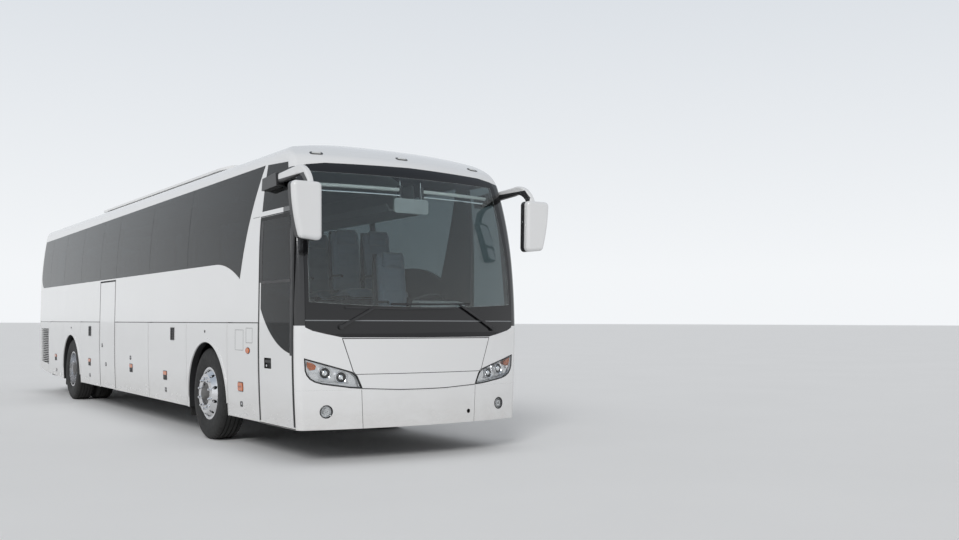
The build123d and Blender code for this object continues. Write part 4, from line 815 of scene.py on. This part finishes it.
for side, word in SIDES:
    rim = Shape()
    nose_ring(rim, drawn_in([(side * x, z) for x, z in HEADLAMP], -0.003), 0.013, -0.004, 0.0012)
    rim.make(f"head_lamp_rim_{word}", [GLOSS_BLACK])
    inside = Shape()
    for x, z, r in ((1.0, 0.846, 0.058), (0.848, 0.806, 0.054)):
        place = on_nose(side * x, z, -LAMP_DEPTH)
        bowl = [(r, 0.0), (r + 0.003, 0.03), (r, 0.033), (r - 0.006, 0.03)]
        inside.turned(bowl + [(r * 0.72, 0.01), (r * 0.66, 0.0)], place)
        collar = [(r * 0.66, 0.001), (r * 0.66, 0.02), (r * 0.58, 0.022), (r * 0.56, 0.001)]
        inside.turned(collar, place, mark=1)
        lens = [(0.0005, 0.004), (r * 0.56, 0.006), (r * 0.5, 0.017), (r * 0.3, 0.026), (0.0005, 0.029)]
        inside.turned(lens, place, mark=2)
    for outline, low, high, mark in LAMP_PLATES:
        pts = dense([(side * x, z) for x, z in outline], 0.03)
        inside.rings([[nose_point(p, out) for p in pts] for out in (low, high)], mark=mark)
    for z, start in ((0.746, 0.735), (0.757, 0.737)):
        steps = [t / 8 for t in range(9)]
        path = [nose_point((side * (start + (1.06 - start) * t), z + 0.03 * t**2), -0.03) for t in steps]
        inside.tube(path, 0.0022, 6, mark=4)
    inside.make(f"head_lamp_inside_{word}", [BRIGHT, GLOSS_BLACK, MIRROR, AMBER, BRIGHT], slot="lamp_clear")
    fog = Shape()
    place = on_nose(side * 0.985, 0.4875)
    fog.turned([(0.0612, -0.01), (0.0612, 0.0015), (0.058, 0.003), (0.053, 0.0), (0.051, -0.01)], place)
    pane = [(0.0005, -0.006), (0.0515, -0.006), (0.0515, -0.003), (0.03, 0.0002), (0.0005, 0.001)]
    fog.turned(pane, place, mark=1)
    fog.turned([(0.026, -0.0072), (0.026, -0.0062), (0.018, -0.0062), (0.018, -0.0072)], place, mark=2)
    fog.make(f"fog_lamp_{word}", [GLOSS_BLACK, LENS, BRIGHT], slot="lamp_clear")


# ---- Mirror glasses

MIRROR_Y = -6.115
MIRROR_RIM = 0.02

for side, word in SIDES:
    glass = Shape()
    for x, z, width, height in ((1.308, 2.42, 0.215, 0.285), (1.29, 2.17, 0.165, 0.14)):
        place = basis((side * x, MIRROR_Y, z), (-1, 0, 0), (0, 0, 1), (0, 1, 0))
        glass.plate((width + MIRROR_RIM, height + MIRROR_RIM, 0.04), -0.004, 0.004, place, 0, 0.002)
        glass.plate((width, height, 0.032), 0.003, 0.0052, place, 1)
    glass.make(f"mirror_glass_{word}", [BLACK, MIRROR])


# ---- Seats: padded cushions, backs and head rests on plain frames

SEAT_ROWS = [-3.5 + 0.83 * n for n in range(11)]
BENCH_X, SEAT_SHIFT = 0.69, 0.222
SEATS = [
    (side, y, side * (BENCH_X + shift))
    for side in (-1, 1)
    for y in SEAT_ROWS
    if side > 0 or y < 0.56 or y > 1.94
    for shift in (-SEAT_SHIFT, SEAT_SHIFT)
]
DECK_Z = 1.28
CAB_Z = 0.95
SEAT_RISE = 0.37
DRIVER_X, DRIVER_Y = 0.6, -4.43
ROW_WIDTH, DRIVER_WIDTH = 0.43, 0.46
PUFF_FRAMES = 20
LINE_STEPS = 59
CHANNEL = 0.007


def cushion_line(t):
    """Seat cushion: from the back edge forwards, with a rounded front."""
    z = 0.03 - 0.03 * (1 - t) - 0.05 * max(0.0, t - 0.8) / 0.2 * 0.6
    return -0.02 - 0.42 * t, z, 0.09 - 0.5 * max(0.0, t - 0.82)


def back_line(t):
    """Seat back: up from the cushion, leaning rearwards, its top curling forwards."""
    lean = 0.2
    z = 0.05 + 0.76 * t
    y = 0.015 + z * math.tan(lean) * 0.72 - 0.02 * math.sin(math.pi * t) - 0.03 * max(0.0, t - 0.82) / 0.18
    return y, z, math.pi / 2 - lean


def head_line(t):
    """Head rest: a short pad laid on the upper front of the back."""
    y, z, tilt = back_line(0.77 + 0.24 * t)
    return y - 0.052, z, tilt


# Middle line, width, length, thickness, channels across it at t and along it at x, voxel, most puff,
# then for the rows and for the driver the share of faces kept and the fill
PADS = {
    "cushion": (
        cushion_line, 0.4, 0.42, 0.085,
        (0.3, 0.62), (-0.135, 0.135),
        0.011, 0.016, {"row": (0.22, 0.75), "driver": (0.9, 0.8)},
    ),
    "back": (
        back_line, 0.4, 0.76, 0.075,
        (0.22, 0.42, 0.62, 0.8), (-0.14, 0.14),
        0.011, 0.016, {"row": (0.22, 0.7), "driver": (0.9, 0.75)},
    ),
    "head": (
        head_line, 0.27, 0.2, 0.07,
        (0.5,), (),
        0.01, 0.012, {"row": (0.25, 0.8), "driver": (0.9, 0.8)},
    ),
}


def pad_blank(line, width, thick):
    """Plain pad along a line, which gives (y, z, tilt) of its middle for t from 0 to 1."""
    across, along = 20, 16
    rings = []
    for j in range(along + 1):
        t = j / along
        y, z, tilt = line(t)
        end = min(1.0, min(t, 1 - t) * along / 1.6)
        swell = math.sin(math.pi * end / 2)
        w = width / 2 * (0.9 + 0.1 * swell)
        h = thick / 2 * (0.45 + 0.55 * swell)
        ring = []
        for a in turns(across):
            c, s = math.cos(a), math.sin(a)
            px = w * math.copysign(abs(c) ** 0.35, c)
            pz = h * math.copysign(abs(s) ** 0.6, s)
            ring.append((px, y - pz * math.sin(tilt), z + pz * math.cos(tilt)))
        rings.append(ring)
    return Shape().rings(rings)


def evaluated(piece):
    """New mesh of a piece with its modifiers applied."""
    graph = bpy.context.evaluated_depsgraph_get()
    return bpy.data.meshes.new_from_object(piece.evaluated_get(graph))


def coordinates(mesh):
    flat = np.empty(len(mesh.vertices) * 3)
    mesh.vertices.foreach_get("co", flat)
    return flat.reshape(-1, 3)


def puffed(piece, most):
    """Mesh of a pad after cloth pressure from inside, which moves no point by more than most."""
    cloth = piece.modifiers.new("cloth", "CLOTH")
    cloth.settings.use_pressure = True
    cloth.settings.uniform_pressure_force = 4.0
    cloth.settings.tension_stiffness = cloth.settings.compression_stiffness = 15.0
    cloth.settings.effector_weights.gravity = 0.0
    cloth.point_cache.frame_start, cloth.point_cache.frame_end = 1, PUFF_FRAMES
    cloth.show_viewport = False
    rest = coordinates(evaluated(piece))
    cloth.show_viewport = True
    for number in range(1, PUFF_FRAMES + 1):
        scene.frame_set(number)
    mesh = evaluated(piece)
    scene.frame_set(1)
    move = coordinates(mesh) - rest
    size = np.linalg.norm(move, axis=1, keepdims=True)
    points = rest + move * np.minimum(1.0, most / np.maximum(size, 1e-9))
    mesh.vertices.foreach_set("co", points.ravel())
    return mesh


def press_channels(mesh, line, length, thick, across, along):
    """Press stitched channels into the top of a pad."""
    points = coordinates(mesh)
    middle = np.array([line(t) for t in np.linspace(0, 1, LINE_STEPS + 1)])
    spot = np.argmin(((points[:, None, 1:] - middle[None, :, :2]) ** 2).sum(axis=2), axis=1)
    y, z, tilt = middle[spot].T
    above = np.cos(tilt) * (points[:, 2] - z) - np.sin(tilt) * (points[:, 1] - y)
    offs = [(spot / LINE_STEPS - t) * length for t in across] + [points[:, 0] - x for x in along]
    dip = np.max([np.exp(-((off / CHANNEL) ** 2)) for off in offs], axis=0)
    dip *= CHANNEL * np.clip(above / (thick * 0.3), 0.0, 1.0)
    points[:, 1] += dip * np.sin(tilt)
    points[:, 2] -= dip * np.cos(tilt)
    mesh.vertices.foreach_set("co", points.ravel())
    mesh.update()


def stuffed(name, line, width, length, thick, across, along, voxel, most):
    """Mesh of a stuffed pad with its top along z."""
    piece = linked(name, pad_blank(line, width, thick).mesh(name))
    remesh = piece.modifiers.new("remesh", "REMESH")
    remesh.mode, remesh.voxel_size = "VOXEL", voxel
    done = puffed(piece, most)
    bpy.data.objects.remove(piece)
    press_channels(done, line, length, thick, across, along)
    return done


def thinned(mesh, share, name):
    """The mesh in cloth with a share of its faces, smooth shaded."""
    piece = linked(name, mesh)
    piece.modifiers.new("thin", "DECIMATE").ratio = share
    done = evaluated(piece)
    bpy.data.objects.remove(piece)
    done.name = name
    done.materials.append(CLOTH)
    done.polygons.foreach_set("use_smooth", [True] * len(done.polygons))
    return done


def place_pad(mesh, name, spot, fill):
    piece = linked(name, mesh)
    piece.location = spot
    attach(piece, "root")


def seat_frame(shape, x, y, floor_z, width):
    """Back shell, pan and arm rests of one seat."""
    here = Matrix.Translation((x, y, floor_z + SEAT_RISE))
    half = width / 2
    shell = []
    for t, rise in ((0.0, 0.02), (0.4, 0.3), (0.75, 0.58), (1.0, 0.8)):
        y0 = 0.03 + rise * 0.146 + 0.052
        w = half - 0.012 - 0.035 * max(0.0, t - 0.7) / 0.3
        outline = ((-w, y0 - 0.02), (w, y0 - 0.02), (w * 0.94, y0 + 0.016), (-w * 0.94, y0 + 0.016))
        shell.append([(*p, rise) for p in outline])
    shape.rings(shell, here)
    shape.box((-half + 0.012, -0.41, -0.035), (half - 0.012, 0.05, -0.008), here)
    for s in (-1, 1):
        edge = s * (half - 0.006)
        arm = [(edge, 0.06, 0.2), (edge, -0.02, 0.235), (edge, -0.24, 0.235), (edge, -0.27, 0.225)]
        shape.tube(arm, 0.017, 8, here)


meshes = {}
for word, (*sizes, uses) in PADS.items():
    pad = stuffed(f"seat_{word}", *sizes)
    for use, (share, _) in uses.items():
        meshes[use, word] = thinned(pad, share, f"{use}_{word}_mesh")

frames = Shape()
for number, (side, y, x) in enumerate(SEATS):
    for word, pad in PADS.items():
        fill = pad[-1]["row"][1]
        place_pad(meshes["row", word], f"seat_{word}_{number:02d}", (x, y, DECK_Z + SEAT_RISE), fill)
    seat_frame(frames, x, y, DECK_Z, ROW_WIDTH)
for side, y in sorted({seat[:2] for seat in SEATS}):
    base = Matrix.Translation((side * BENCH_X, y, DECK_Z))
    frames.box((-0.06, -0.33, 0.001), (0.06, -0.08, 0.34), base, 1)
    for back in (-0.36, -0.06):
        frames.box((-ROW_WIDTH, back, 0.31), (ROW_WIDTH, back + 0.04, 0.345), base, 1)
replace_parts(frames.make("seat_frames", [BLACK, STEEL]), "passenger_seats")

driver = Shape()
seat_frame(driver, DRIVER_X, DRIVER_Y, CAB_Z, DRIVER_WIDTH)
foot = Matrix.Translation((DRIVER_X, DRIVER_Y - 0.2, CAB_Z))
driver.plate((0.34, 0.34, 0.05), 0.001, 0.03, foot, 1)
for k in range(6):
    low, wide = 0.03 + 0.046 * k, 0.26 if k % 2 else 0.3
    driver.plate((wide, wide, 0.04), low, low + 0.047, foot)
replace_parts(driver.make("driver_seat_frame", [BLACK, STEEL], bevel=0.003), "driver_seat")
for word, pad in PADS.items():
    spot = (DRIVER_X, DRIVER_Y, CAB_Z + SEAT_RISE)
    place_pad(meshes["driver", word], f"driver_{word}", spot, pad[-1]["driver"][1])


# ---- Flank fittings, each on the body that carries it

# Marks 0 moulded black, 1 amber, 2 bright, 3 gap black, 4 white
FLANK_LOOKS = [BLACK, AMBER, BRIGHT, SEAL, WHITE_TRIM]
OVAL = [(x * 1.7, y) for x, y in circle(0.034, 32)]
# Outline, low, high, mark, chamfer
FITTING_PRISMS = {
    "latch": (
        (rounded_rect(0.15, 0.118, 0.014), -0.002, 0.0032, 0, 0.0015),
        (rounded_rect(0.128, 0.046, 0.01, (0, 0.028)), 0.002, 0.0085, 1, 0.003),
        (rounded_rect(0.128, 0.046, 0.008, (0, -0.028)), 0.002, 0.004, 3, 0.0),
        (rounded_rect(0.09, 0.02, 0.006, (0, -0.02)), 0.003, 0.008, 0, 0.002),
    ),
    "marker": (
        (rounded_rect(0.15, 0.102, 0.02), -0.002, 0.003, 0, 0.0015),
        (rounded_rect(0.136, 0.088, 0.017), 0.002, 0.0095, 1, 0.004),
        (rounded_rect(0.11, 0.005, 0.002), 0.004, 0.0102, 0, 0.0),
    ),
    "repeater": (
        (OVAL, -0.002, 0.0035, 0, 0.0015),
        ([(x * 0.9, y * 0.88) for x, y in OVAL], 0.002, 0.0105, 1, 0.005),
    ),
    "lock": (
        (rounded_rect(0.066, 0.056, 0.01), -0.002, 0.003, 0, 0.0012),
        (circle(0.013, 18, (-0.01, 0.004)), 0.002, 0.006, 2, 0.002),
        (rounded_rect(0.014, 0.022, 0.003, (0.018, 0)), 0.002, 0.005, 3, 0.001),
    ),
    "dot": ((circle(0.016, 18), -0.002, 0.004, 0, 0.002),),
    "vent": ((rounded_rect(0.13, 0.155, 0.01), -0.002, 0.0022, 3, 0.0),),
}
VENT_FRAME = (
    (-0.065, -0.0775, 0.065, -0.0695), (-0.065, 0.0695, 0.065, 0.0775),
    (-0.065, -0.07, -0.057, 0.07), (0.057, -0.07, 0.065, 0.07),
)
# Kind, y and z by body
FITTINGS = {
    "right_service_flap_body": [("marker", -4.5, 0.65), ("repeater", -4.72, 1.03), ("lock", -4.51, 0.47)],
    "right_luggage_flap_front_body": [("vent", -2.21, 1.175), ("latch", -1.89, 0.65), ("lock", -1.9, 0.47)],
    "right_luggage_flap_rear_body": [("latch", -0.32, 0.68), ("lock", -0.3, 0.82)],
    "right_battery_flap_body": [("vent", 2.07, 1.17), ("latch", 2.11, 0.68), ("lock", 2.11, 0.47)],
    "right_engine_flap_body": [("latch", 4.67, 0.68), ("lock", 4.63, 0.45)],
    "middle_door": [("lock", 1.07, 0.68), ("lock", 1.28, 0.96)],
    "left_luggage_flap_front_body": [("vent", -2.21, 1.175), ("latch", -1.89, 0.65), ("lock", -1.9, 0.47)],
    "left_luggage_flap_middle_body": [("latch", -0.18, 0.68), ("lock", -0.18, 0.47)],
    "left_luggage_flap_rear_body": [("latch", 1.78, 0.68), ("vent", 2.45, 1.17), ("lock", 1.78, 0.47)],
}
WALL_FITTINGS = (
    ("dot", -1, -3.4, 1.215), ("dot", 1, -3.4, 1.215), ("dot", -1, 3.41, 1.215), ("dot", 1, 3.41, 1.215),
    ("marker", 1, -4.5, 0.65), ("repeater", 1, -4.72, 1.03),
    ("latch", 1, 4.67, 0.68), ("lock", 1, 4.63, 0.45),
)
SEAM_RUN = 0.08
# Points (y, z), width and height of each joint line
SEAMS = {
    "middle_door": (
        ([(0.5625, 0.345), (0.5625, 1.925)], 0.014, 0.001),
        ([(1.4375, 0.345), (1.4375, 1.925)], 0.014, 0.001),
        ([(0.5625, 1.918), (1.4375, 1.918)], 0.014, 0.001),
    ),
    "right_service_flap_body": (
        ([(-4.36, 1.03), (-4.36, 1.24), (-4.59, 1.24), (-4.59, 1.03), (-4.36, 1.03)], 0.003, 0.0008),
        ([(-4.67, 1.11), (-4.67, 1.26), (-4.84, 1.26), (-4.84, 1.11), (-4.67, 1.11)], 0.003, 0.0008),
    ),
}
# Front door: its edges, then the black border of its glass, each with its mark
DOOR_SEAMS = (
    ([(-5.842, 0.345), (-5.842, 2.365)], 0.036, 0.0012, 3),
    ([(-5.012, 0.345), (-5.012, 2.365)], 0.028, 0.0012, 3),
    ([(-5.008, 2.352), (-5.842, 2.352)], 0.04, 0.0012, 3),
    ([(-5.806, 2.35), (-5.806, 1.01)], 0.056, 0.001, 0),
    ([(-5.05, 2.35), (-5.05, 1.715)], 0.066, 0.001, 0),
    ([(-5.075, 1.715), (-5.78, 1.715)], 0.026, 0.004, 0),
)


def fitting(shape, kind, side, y, z):
    """Small fitting on a flank."""
    place = on_flank(side, y, z)
    for outline, low, high, mark, chamfer in FITTING_PRISMS[kind]:
        shape.prism(outline, low, high, place, mark, chamfer)
    if kind == "vent":
        for k in range(7):
            slat = shifted(place, 0, -0.066 + 0.0205 * k, 0.0018, -24, "X")
            shape.box((-0.057, -0.001, 0), (0.057, 0.013, 0.002), slat)
        for x0, y0, x1, y1 in VENT_FRAME:
            shape.box((x0, y0, 0.001), (x1, y1, 0.0085), place)


def seam(shape, side, points, width, out, mark=3):
    """Thin dark joint line along (y, z) points of a flank, laid in short straight runs."""
    corners = ((-1, -0.001), (1, -0.001), (1, out), (-1, out))
    for start, end in zip(points, points[1:]):
        start, end = Vector(start), Vector(end)
        count = max(1, round((end - start).length / SEAM_RUN))
        across = (end - start).orthogonal().normalized() * width / 2
        for k in range(count):
            rings = []
            for p in (start.lerp(end, k / count), start.lerp(end, (k + 1) / count)):
                spots = [(p + across * s, level) for s, level in corners]
                rings.append([on_flank(side, q.x, q.y, level).translation for q, level in spots])
            shape.rings(rings, mark=mark)


for body, items in FITTINGS.items():
    side = 1 if body.startswith("left") else -1
    shape = Shape()
    for item in items:
        fitting(shape, item[0], side, *item[1:])
    for line in SEAMS.get(body, ()):
        seam(shape, side, *line)
    shape.make(body.replace("_body", "") + "_fittings", FLANK_LOOKS, body)
walls = Shape()
for item in WALL_FITTINGS:
    fitting(walls, *item)
walls.make("flank_fittings", FLANK_LOOKS)

handle = Shape()
place = on_flank(-1, -5.24, 0.92)
handle.plate((0.176, 0.1, 0.012), -0.028, -0.022, place, 3)
handle.plate((0.15, 0.03, 0.01), -0.022, -0.004, place, 0, 0.004, (0, 0.018))
handle.prism(circle(0.013, 18, (0.05, -0.026)), -0.023, -0.008, place, 2, 0.002)
handle.make("front_door_handle", FLANK_LOOKS, "passenger_door")

markers = Shape()
cap = skin_tree("front_shell")
for x, z in ((-0.925, 2.985), (0.0, 3.005), (0.925, 2.985)):
    here, normal, _, _ = cap.ray_cast(Vector((x, -8.0, z)), Vector((0, 1, 0)))
    along = normal.cross(Vector((0, 0, 1))).normalized()
    place = basis(here, along, normal.cross(along), normal)
    markers.plate((0.132, 0.066, 0.026), -0.006, 0.004, place, 0, 0.001)
    markers.plate((0.09, 0.03, 0.013), 0.002, 0.0105, place, 1, 0.003)
markers.make("cap_markers", [BLACK, PALE_LENS])

edges = Shape()
for line in DOOR_SEAMS:
    seam(edges, -1, *line)
edges.make("front_door_edges", FLANK_LOOKS, "passenger_door")
pillar_seams = Shape()
for side in (-1, 1):
    seam(pillar_seams, side, [(-4.975, 2.385), (-4.79, 2.385)], 0.004, 0.0008)
pillar_seams.make("pillar_seams", FLANK_LOOKS)


# ---- Cab: blinds, sun visor, dials and switches


def behind_screen(x, z, back):
    """Point a given way behind the windscreen's outer face."""
    return (x, nose_y(x, z) + back, z)


BLIND_Z, BLIND_BACK = 2.66, 0.095
DIALS_AT = (0.6, -5.2975, 1.478)

cab = Shape()
for x0, x1 in ((-1.02, -0.12), (0.16, 1.02)):
    rods = ((BLIND_Z, BLIND_BACK, 0.02, 12, 4), (BLIND_Z - 0.06, BLIND_BACK - 0.01, 0.008, 8, 2))
    for z, back, radius, sides, mark in rods:
        path = [behind_screen(x0 + (x1 - x0) * k / 8, z, back) for k in range(9)]
        cab.tube(path, radius, sides, mark=mark)
for x in (-1.03, -0.11, 0.15, 1.03):
    y = nose_y(x, BLIND_Z) + BLIND_BACK
    cab.box((x - 0.012, y - 0.022, 2.585), (x + 0.012, y + 0.03, 2.7))
visor = basis(behind_screen(0.02, 2.5, 0.125), (1, 0, 0), (0, 0, 1), (0, -1, 0))
cab.plate((0.4, 0.15, 0.03), -0.01, 0.01, visor, 5, 0.004)
for x in (-0.1, 0.14):
    y = nose_y(0, 2.5)
    cab.tube([(x, y + 0.127, 2.56), (x, y + 0.16, 2.8)], 0.007, 8, mark=2)
face = basis(DIALS_AT, (1, 0, 0), (0, -0.39, 0.92), (0, 0.92, 0.39))
cab.plate((0.46, 0.13, 0.03), -0.004, 0.006, face, 3, 0.002)
for x in (-0.145, 0.145):
    rim = [(0.052, 0.004), (0.056, 0.01), (0.05, 0.011), (0.048, 0.006)]
    cab.turned(rim, shifted(face, x, 0, 0), 32, 2)
    for k in range(11):
        tick = shifted(face, x, 0, 0.0065, 225 - 27 * k)
        cab.box((0.038, -0.0012, 0), (0.045, 0.0012, 0.0006), tick, 4)
    cab.box((-0.008, -0.0012, 0), (0.036, 0.0012, 0.001), shifted(face, x, 0, 0.007, 215), 1)
cab.plate((0.11, 0.08, 0.008), 0.004, 0.0085, face, 0, 0.001)
for k in range(8):
    cab.plate((0.04, 0.024, 0.004), -0.004, 0.007, shifted(face, -0.19 + 0.054 * k, -0.09, 0), 0, 0.002)
cab.make("cab_fittings", [BLACK, AMBER, BRIGHT, SEAL, PALE_LENS, DASH_GREY])


# ---- Rear fittings and mudflaps

PLATE_Z, HIGH_LAMP_Z, MUDFLAP_OUTER = 0.97, 2.925, 1.205

engine_door = Shape()
engine_door.plate((0.53, 0.122, 0.006), -0.0075, -0.0045, on_tail(0, PLATE_Z), 0, 0.001)
engine_door.plate((0.515, 0.108, 0.006), -0.005, -0.003, on_tail(0, PLATE_Z), 4, 0.0008)
for x in (-0.13, 0.13):
    engine_door.plate((0.07, 0.022, 0.006), -0.0015, 0.0, on_tail(x, 1.055))
for x in (-0.72, 0.72):
    engine_door.plate((0.11, 0.05, 0.014), -0.0015, 0.0, on_tail(x, 0.8))
    engine_door.prism(circle(0.011, 18, (0.03, 0)), -0.001, 0.0, on_tail(x, 0.8), 2)
engine_door.make("engine_door_fittings", FLANK_LOOKS, "engine_cover")

rear = Shape()
for side in (-1, 1):
    rear.plate((0.15, 0.04, 0.008), -0.003, 0.0, on_tail(side * 0.98, 0.565), 5)
    rear.plate((0.09, 0.036, 0.012), -0.004, -0.0005, on_tail(side * 0.9, HIGH_LAMP_Z), 5)
    for y, inner in ((REAR_AXLE_Y + 0.6, 0.62), (FRONT_AXLE_Y + 0.665, 0.95)):
        width, middle = MUDFLAP_OUTER - inner, side * (inner + MUDFLAP_OUTER) / 2
        flap = basis((middle, y, 0.42), (side, 0, 0), (0, 0, 1), (0, -side, 0))
        rear.plate((width, 0.42, 0.02), -0.004, 0.004, flap, 6, 0.001)
        for k in range(4):
            rib = shifted(flap, width * (k - 1.5) / 4.6, 0, 0)
            rear.box((-0.008, -0.19, 0.003), (0.008, 0.19, 0.008), rib, 6)
        rear.box((middle - width / 2, y - 0.016, 0.615), (middle + width / 2, y + 0.016, 0.645), mark=7)
rear.plate((0.36, 0.03, 0.01), -0.004, -0.0005, on_tail(0, HIGH_LAMP_Z), 5)
rear.make("rear_fittings", FLANK_LOOKS + [RED, RUBBER, STEEL])


# ---- Roof unit: condenser fans and intake louvres, seated on its dome

FAN_XS, FAN_YS = (-0.58, 0.58), (-2.45, -1.65, -0.85)
LOUVRES, LOUVRE_PITCH = 14, 0.055
dome = skin_tree("roof_unit")


def on_dome(x, y):
    here, normal, _, _ = dome.ray_cast(Vector((x, y, 4.0)), Vector((0, 0, -1)))
    return basis(here, Vector((0, 1, 0)).cross(normal), (0, 1, 0), normal)


fans = Shape()
for y in FAN_YS:
    for x in FAN_XS:
        place = on_dome(x, y)
        rim = [(0.215, -0.004), (0.215, 0.004), (0.205, 0.006), (0.196, 0.003), (0.196, -0.004)]
        fans.turned(rim, place, 48)
        fans.prism(circle(0.197, 48), -0.004, 0.0008, place, 1)
        for r in (0.06, 0.105, 0.15):
            fans.turned([(r, 0.0018), (r, 0.0044), (r + 0.004, 0.0044), (r + 0.004, 0.0018)], place)
        for k in range(8):
            fans.box((0.03, -0.0025, 0.001), (0.2, 0.0025, 0.004), shifted(place, 0, 0, 0, 45 * k))
        fans.prism(circle(0.034, 24), 0.0006, 0.0056, place, chamfer=0.002)
for x in FAN_XS:
    for k in range(LOUVRES):
        place = on_dome(x, 0.6 + LOUVRE_PITCH * k)
        fans.plate((0.5, 0.026, 0.01), -0.002, 0.0012, place, 1)
        fans.plate((0.5, 0.008, 0.003), -0.002, 0.004, place, 0, 0.001, (0, -0.012))
fans.make("roof_unit_fans", [BLACK, SEAL])
hatches = Shape()
for y in (-4.3, 4.2):
    for x in (-0.22, 0.22):
        hatches.plate((0.07, 0.034, 0.008), 0.0, 0.016, Matrix.Translation((x, y + 0.32, 3.1995)), 0, 0.003)
    hatches.plate((0.48, 0.4, 0.03), 0.0, 0.004, Matrix.Translation((0, y, 3.2115)), 1, 0.002)
hatches.make("roof_hatch_fittings", [BLACK, DASH_GREY])


# ---- Stage: floor, light and camera

SUN_FROM = (-12.0, -13.0, 11.0)
SUN_STRENGTH, SUN_ANGLE, WORLD_STRENGTH = 1.25, math.radians(20.0), 0.52
CAMERA_AT = (-5.0254, -14.4152, 1.324)
CAMERA_YAW, CAMERA_PITCH, CAMERA_ROLL = 34.3561, 3.0595, 0.1829
CAMERA_LENS = 36.961
FLOOR_REACH = 900.0


def floor():
    mesh = bpy.data.meshes.new("floor")
    corners = [(FLOOR_REACH * x, FLOOR_REACH * y, 0) for x, y in ((-1, -1), (1, -1), (1, 1), (-1, 1))]
    mesh.from_pydata(corners, [], [(0, 1, 2, 3)])
    m = Material("pale_floor").set("Roughness", 0.85)
    m.set("Base Color", m.mottle(0.4, 4.0, (0.86, 0.86, 0.855), (0.91, 0.91, 0.905)))
    mesh.materials.append(m.bump(m.noise(40.0, 4.0), 0.08, 0.002).data)
    linked("floor", mesh)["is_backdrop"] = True


def studio():
    """Even world light with one soft sun, and a pale backdrop that only the eye, gloss and glass see."""
    world = bpy.data.worlds.new("studio")
    world.use_nodes = True
    scene.world = world
    graph = Graph(world.node_tree)
    light = world.node_tree.nodes["Background"]
    light.inputs["Color"].default_value = (0.93, 0.95, 0.98, 1.0)
    light.inputs["Strength"].default_value = WORLD_STRENGTH
    height = graph.split(graph.add("ShaderNodeTexCoord", "Generated", {}))[2]
    shade = graph.mix(height.step(0.05, 0.75), (0.9, 0.92, 0.94), (0.42, 0.48, 0.56))
    backdrop = graph.add("ShaderNodeBackground", "Background", {"Color": shade})
    rays = graph.tree.nodes.new("ShaderNodeLightPath").outputs
    kinds = ("Camera", "Glossy", "Transmission")
    eye, gloss, glass = (Field(graph.tree, rays[f"Is {kind} Ray"]) for kind in kinds)
    inputs = {0: eye.at_least(gloss).at_least(glass), 1: Field(graph.tree, light.outputs[0]), 2: backdrop}
    mixed = graph.add("ShaderNodeMixShader", "Shader", inputs)
    connect(graph.tree, mixed, graph.tree.nodes["World Output"].inputs["Surface"])

    sun = bpy.data.lights.new("key", "SUN")
    sun.angle, sun.energy = SUN_ANGLE, SUN_STRENGTH
    linked("key", sun).rotation_euler = (-Vector(SUN_FROM)).to_track_quat("-Z", "Y").to_euler()


def camera():
    """The photograph's viewpoint, its numbers fitted to the photograph."""
    data = bpy.data.cameras.new("camera")
    data.sensor_width = 36.0
    data.lens = CAMERA_LENS
    data.clip_end = 3000.0
    yaw = shifted(Matrix.Identity(4), *CAMERA_AT, -CAMERA_YAW)
    pitch = shifted(yaw, 0, 0, 0, 90 + CAMERA_PITCH, "X")
    scene.camera = linked("camera", data)
    scene.camera.matrix_world = shifted(pitch, 0, 0, 0, CAMERA_ROLL)


floor()
studio()
camera()
scene.view_settings.view_transform = "Standard"

boxes = {"cad": cad_box, "visual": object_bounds()}
{key: [list(corner) for corner in box] for key, box in boxes.items()}
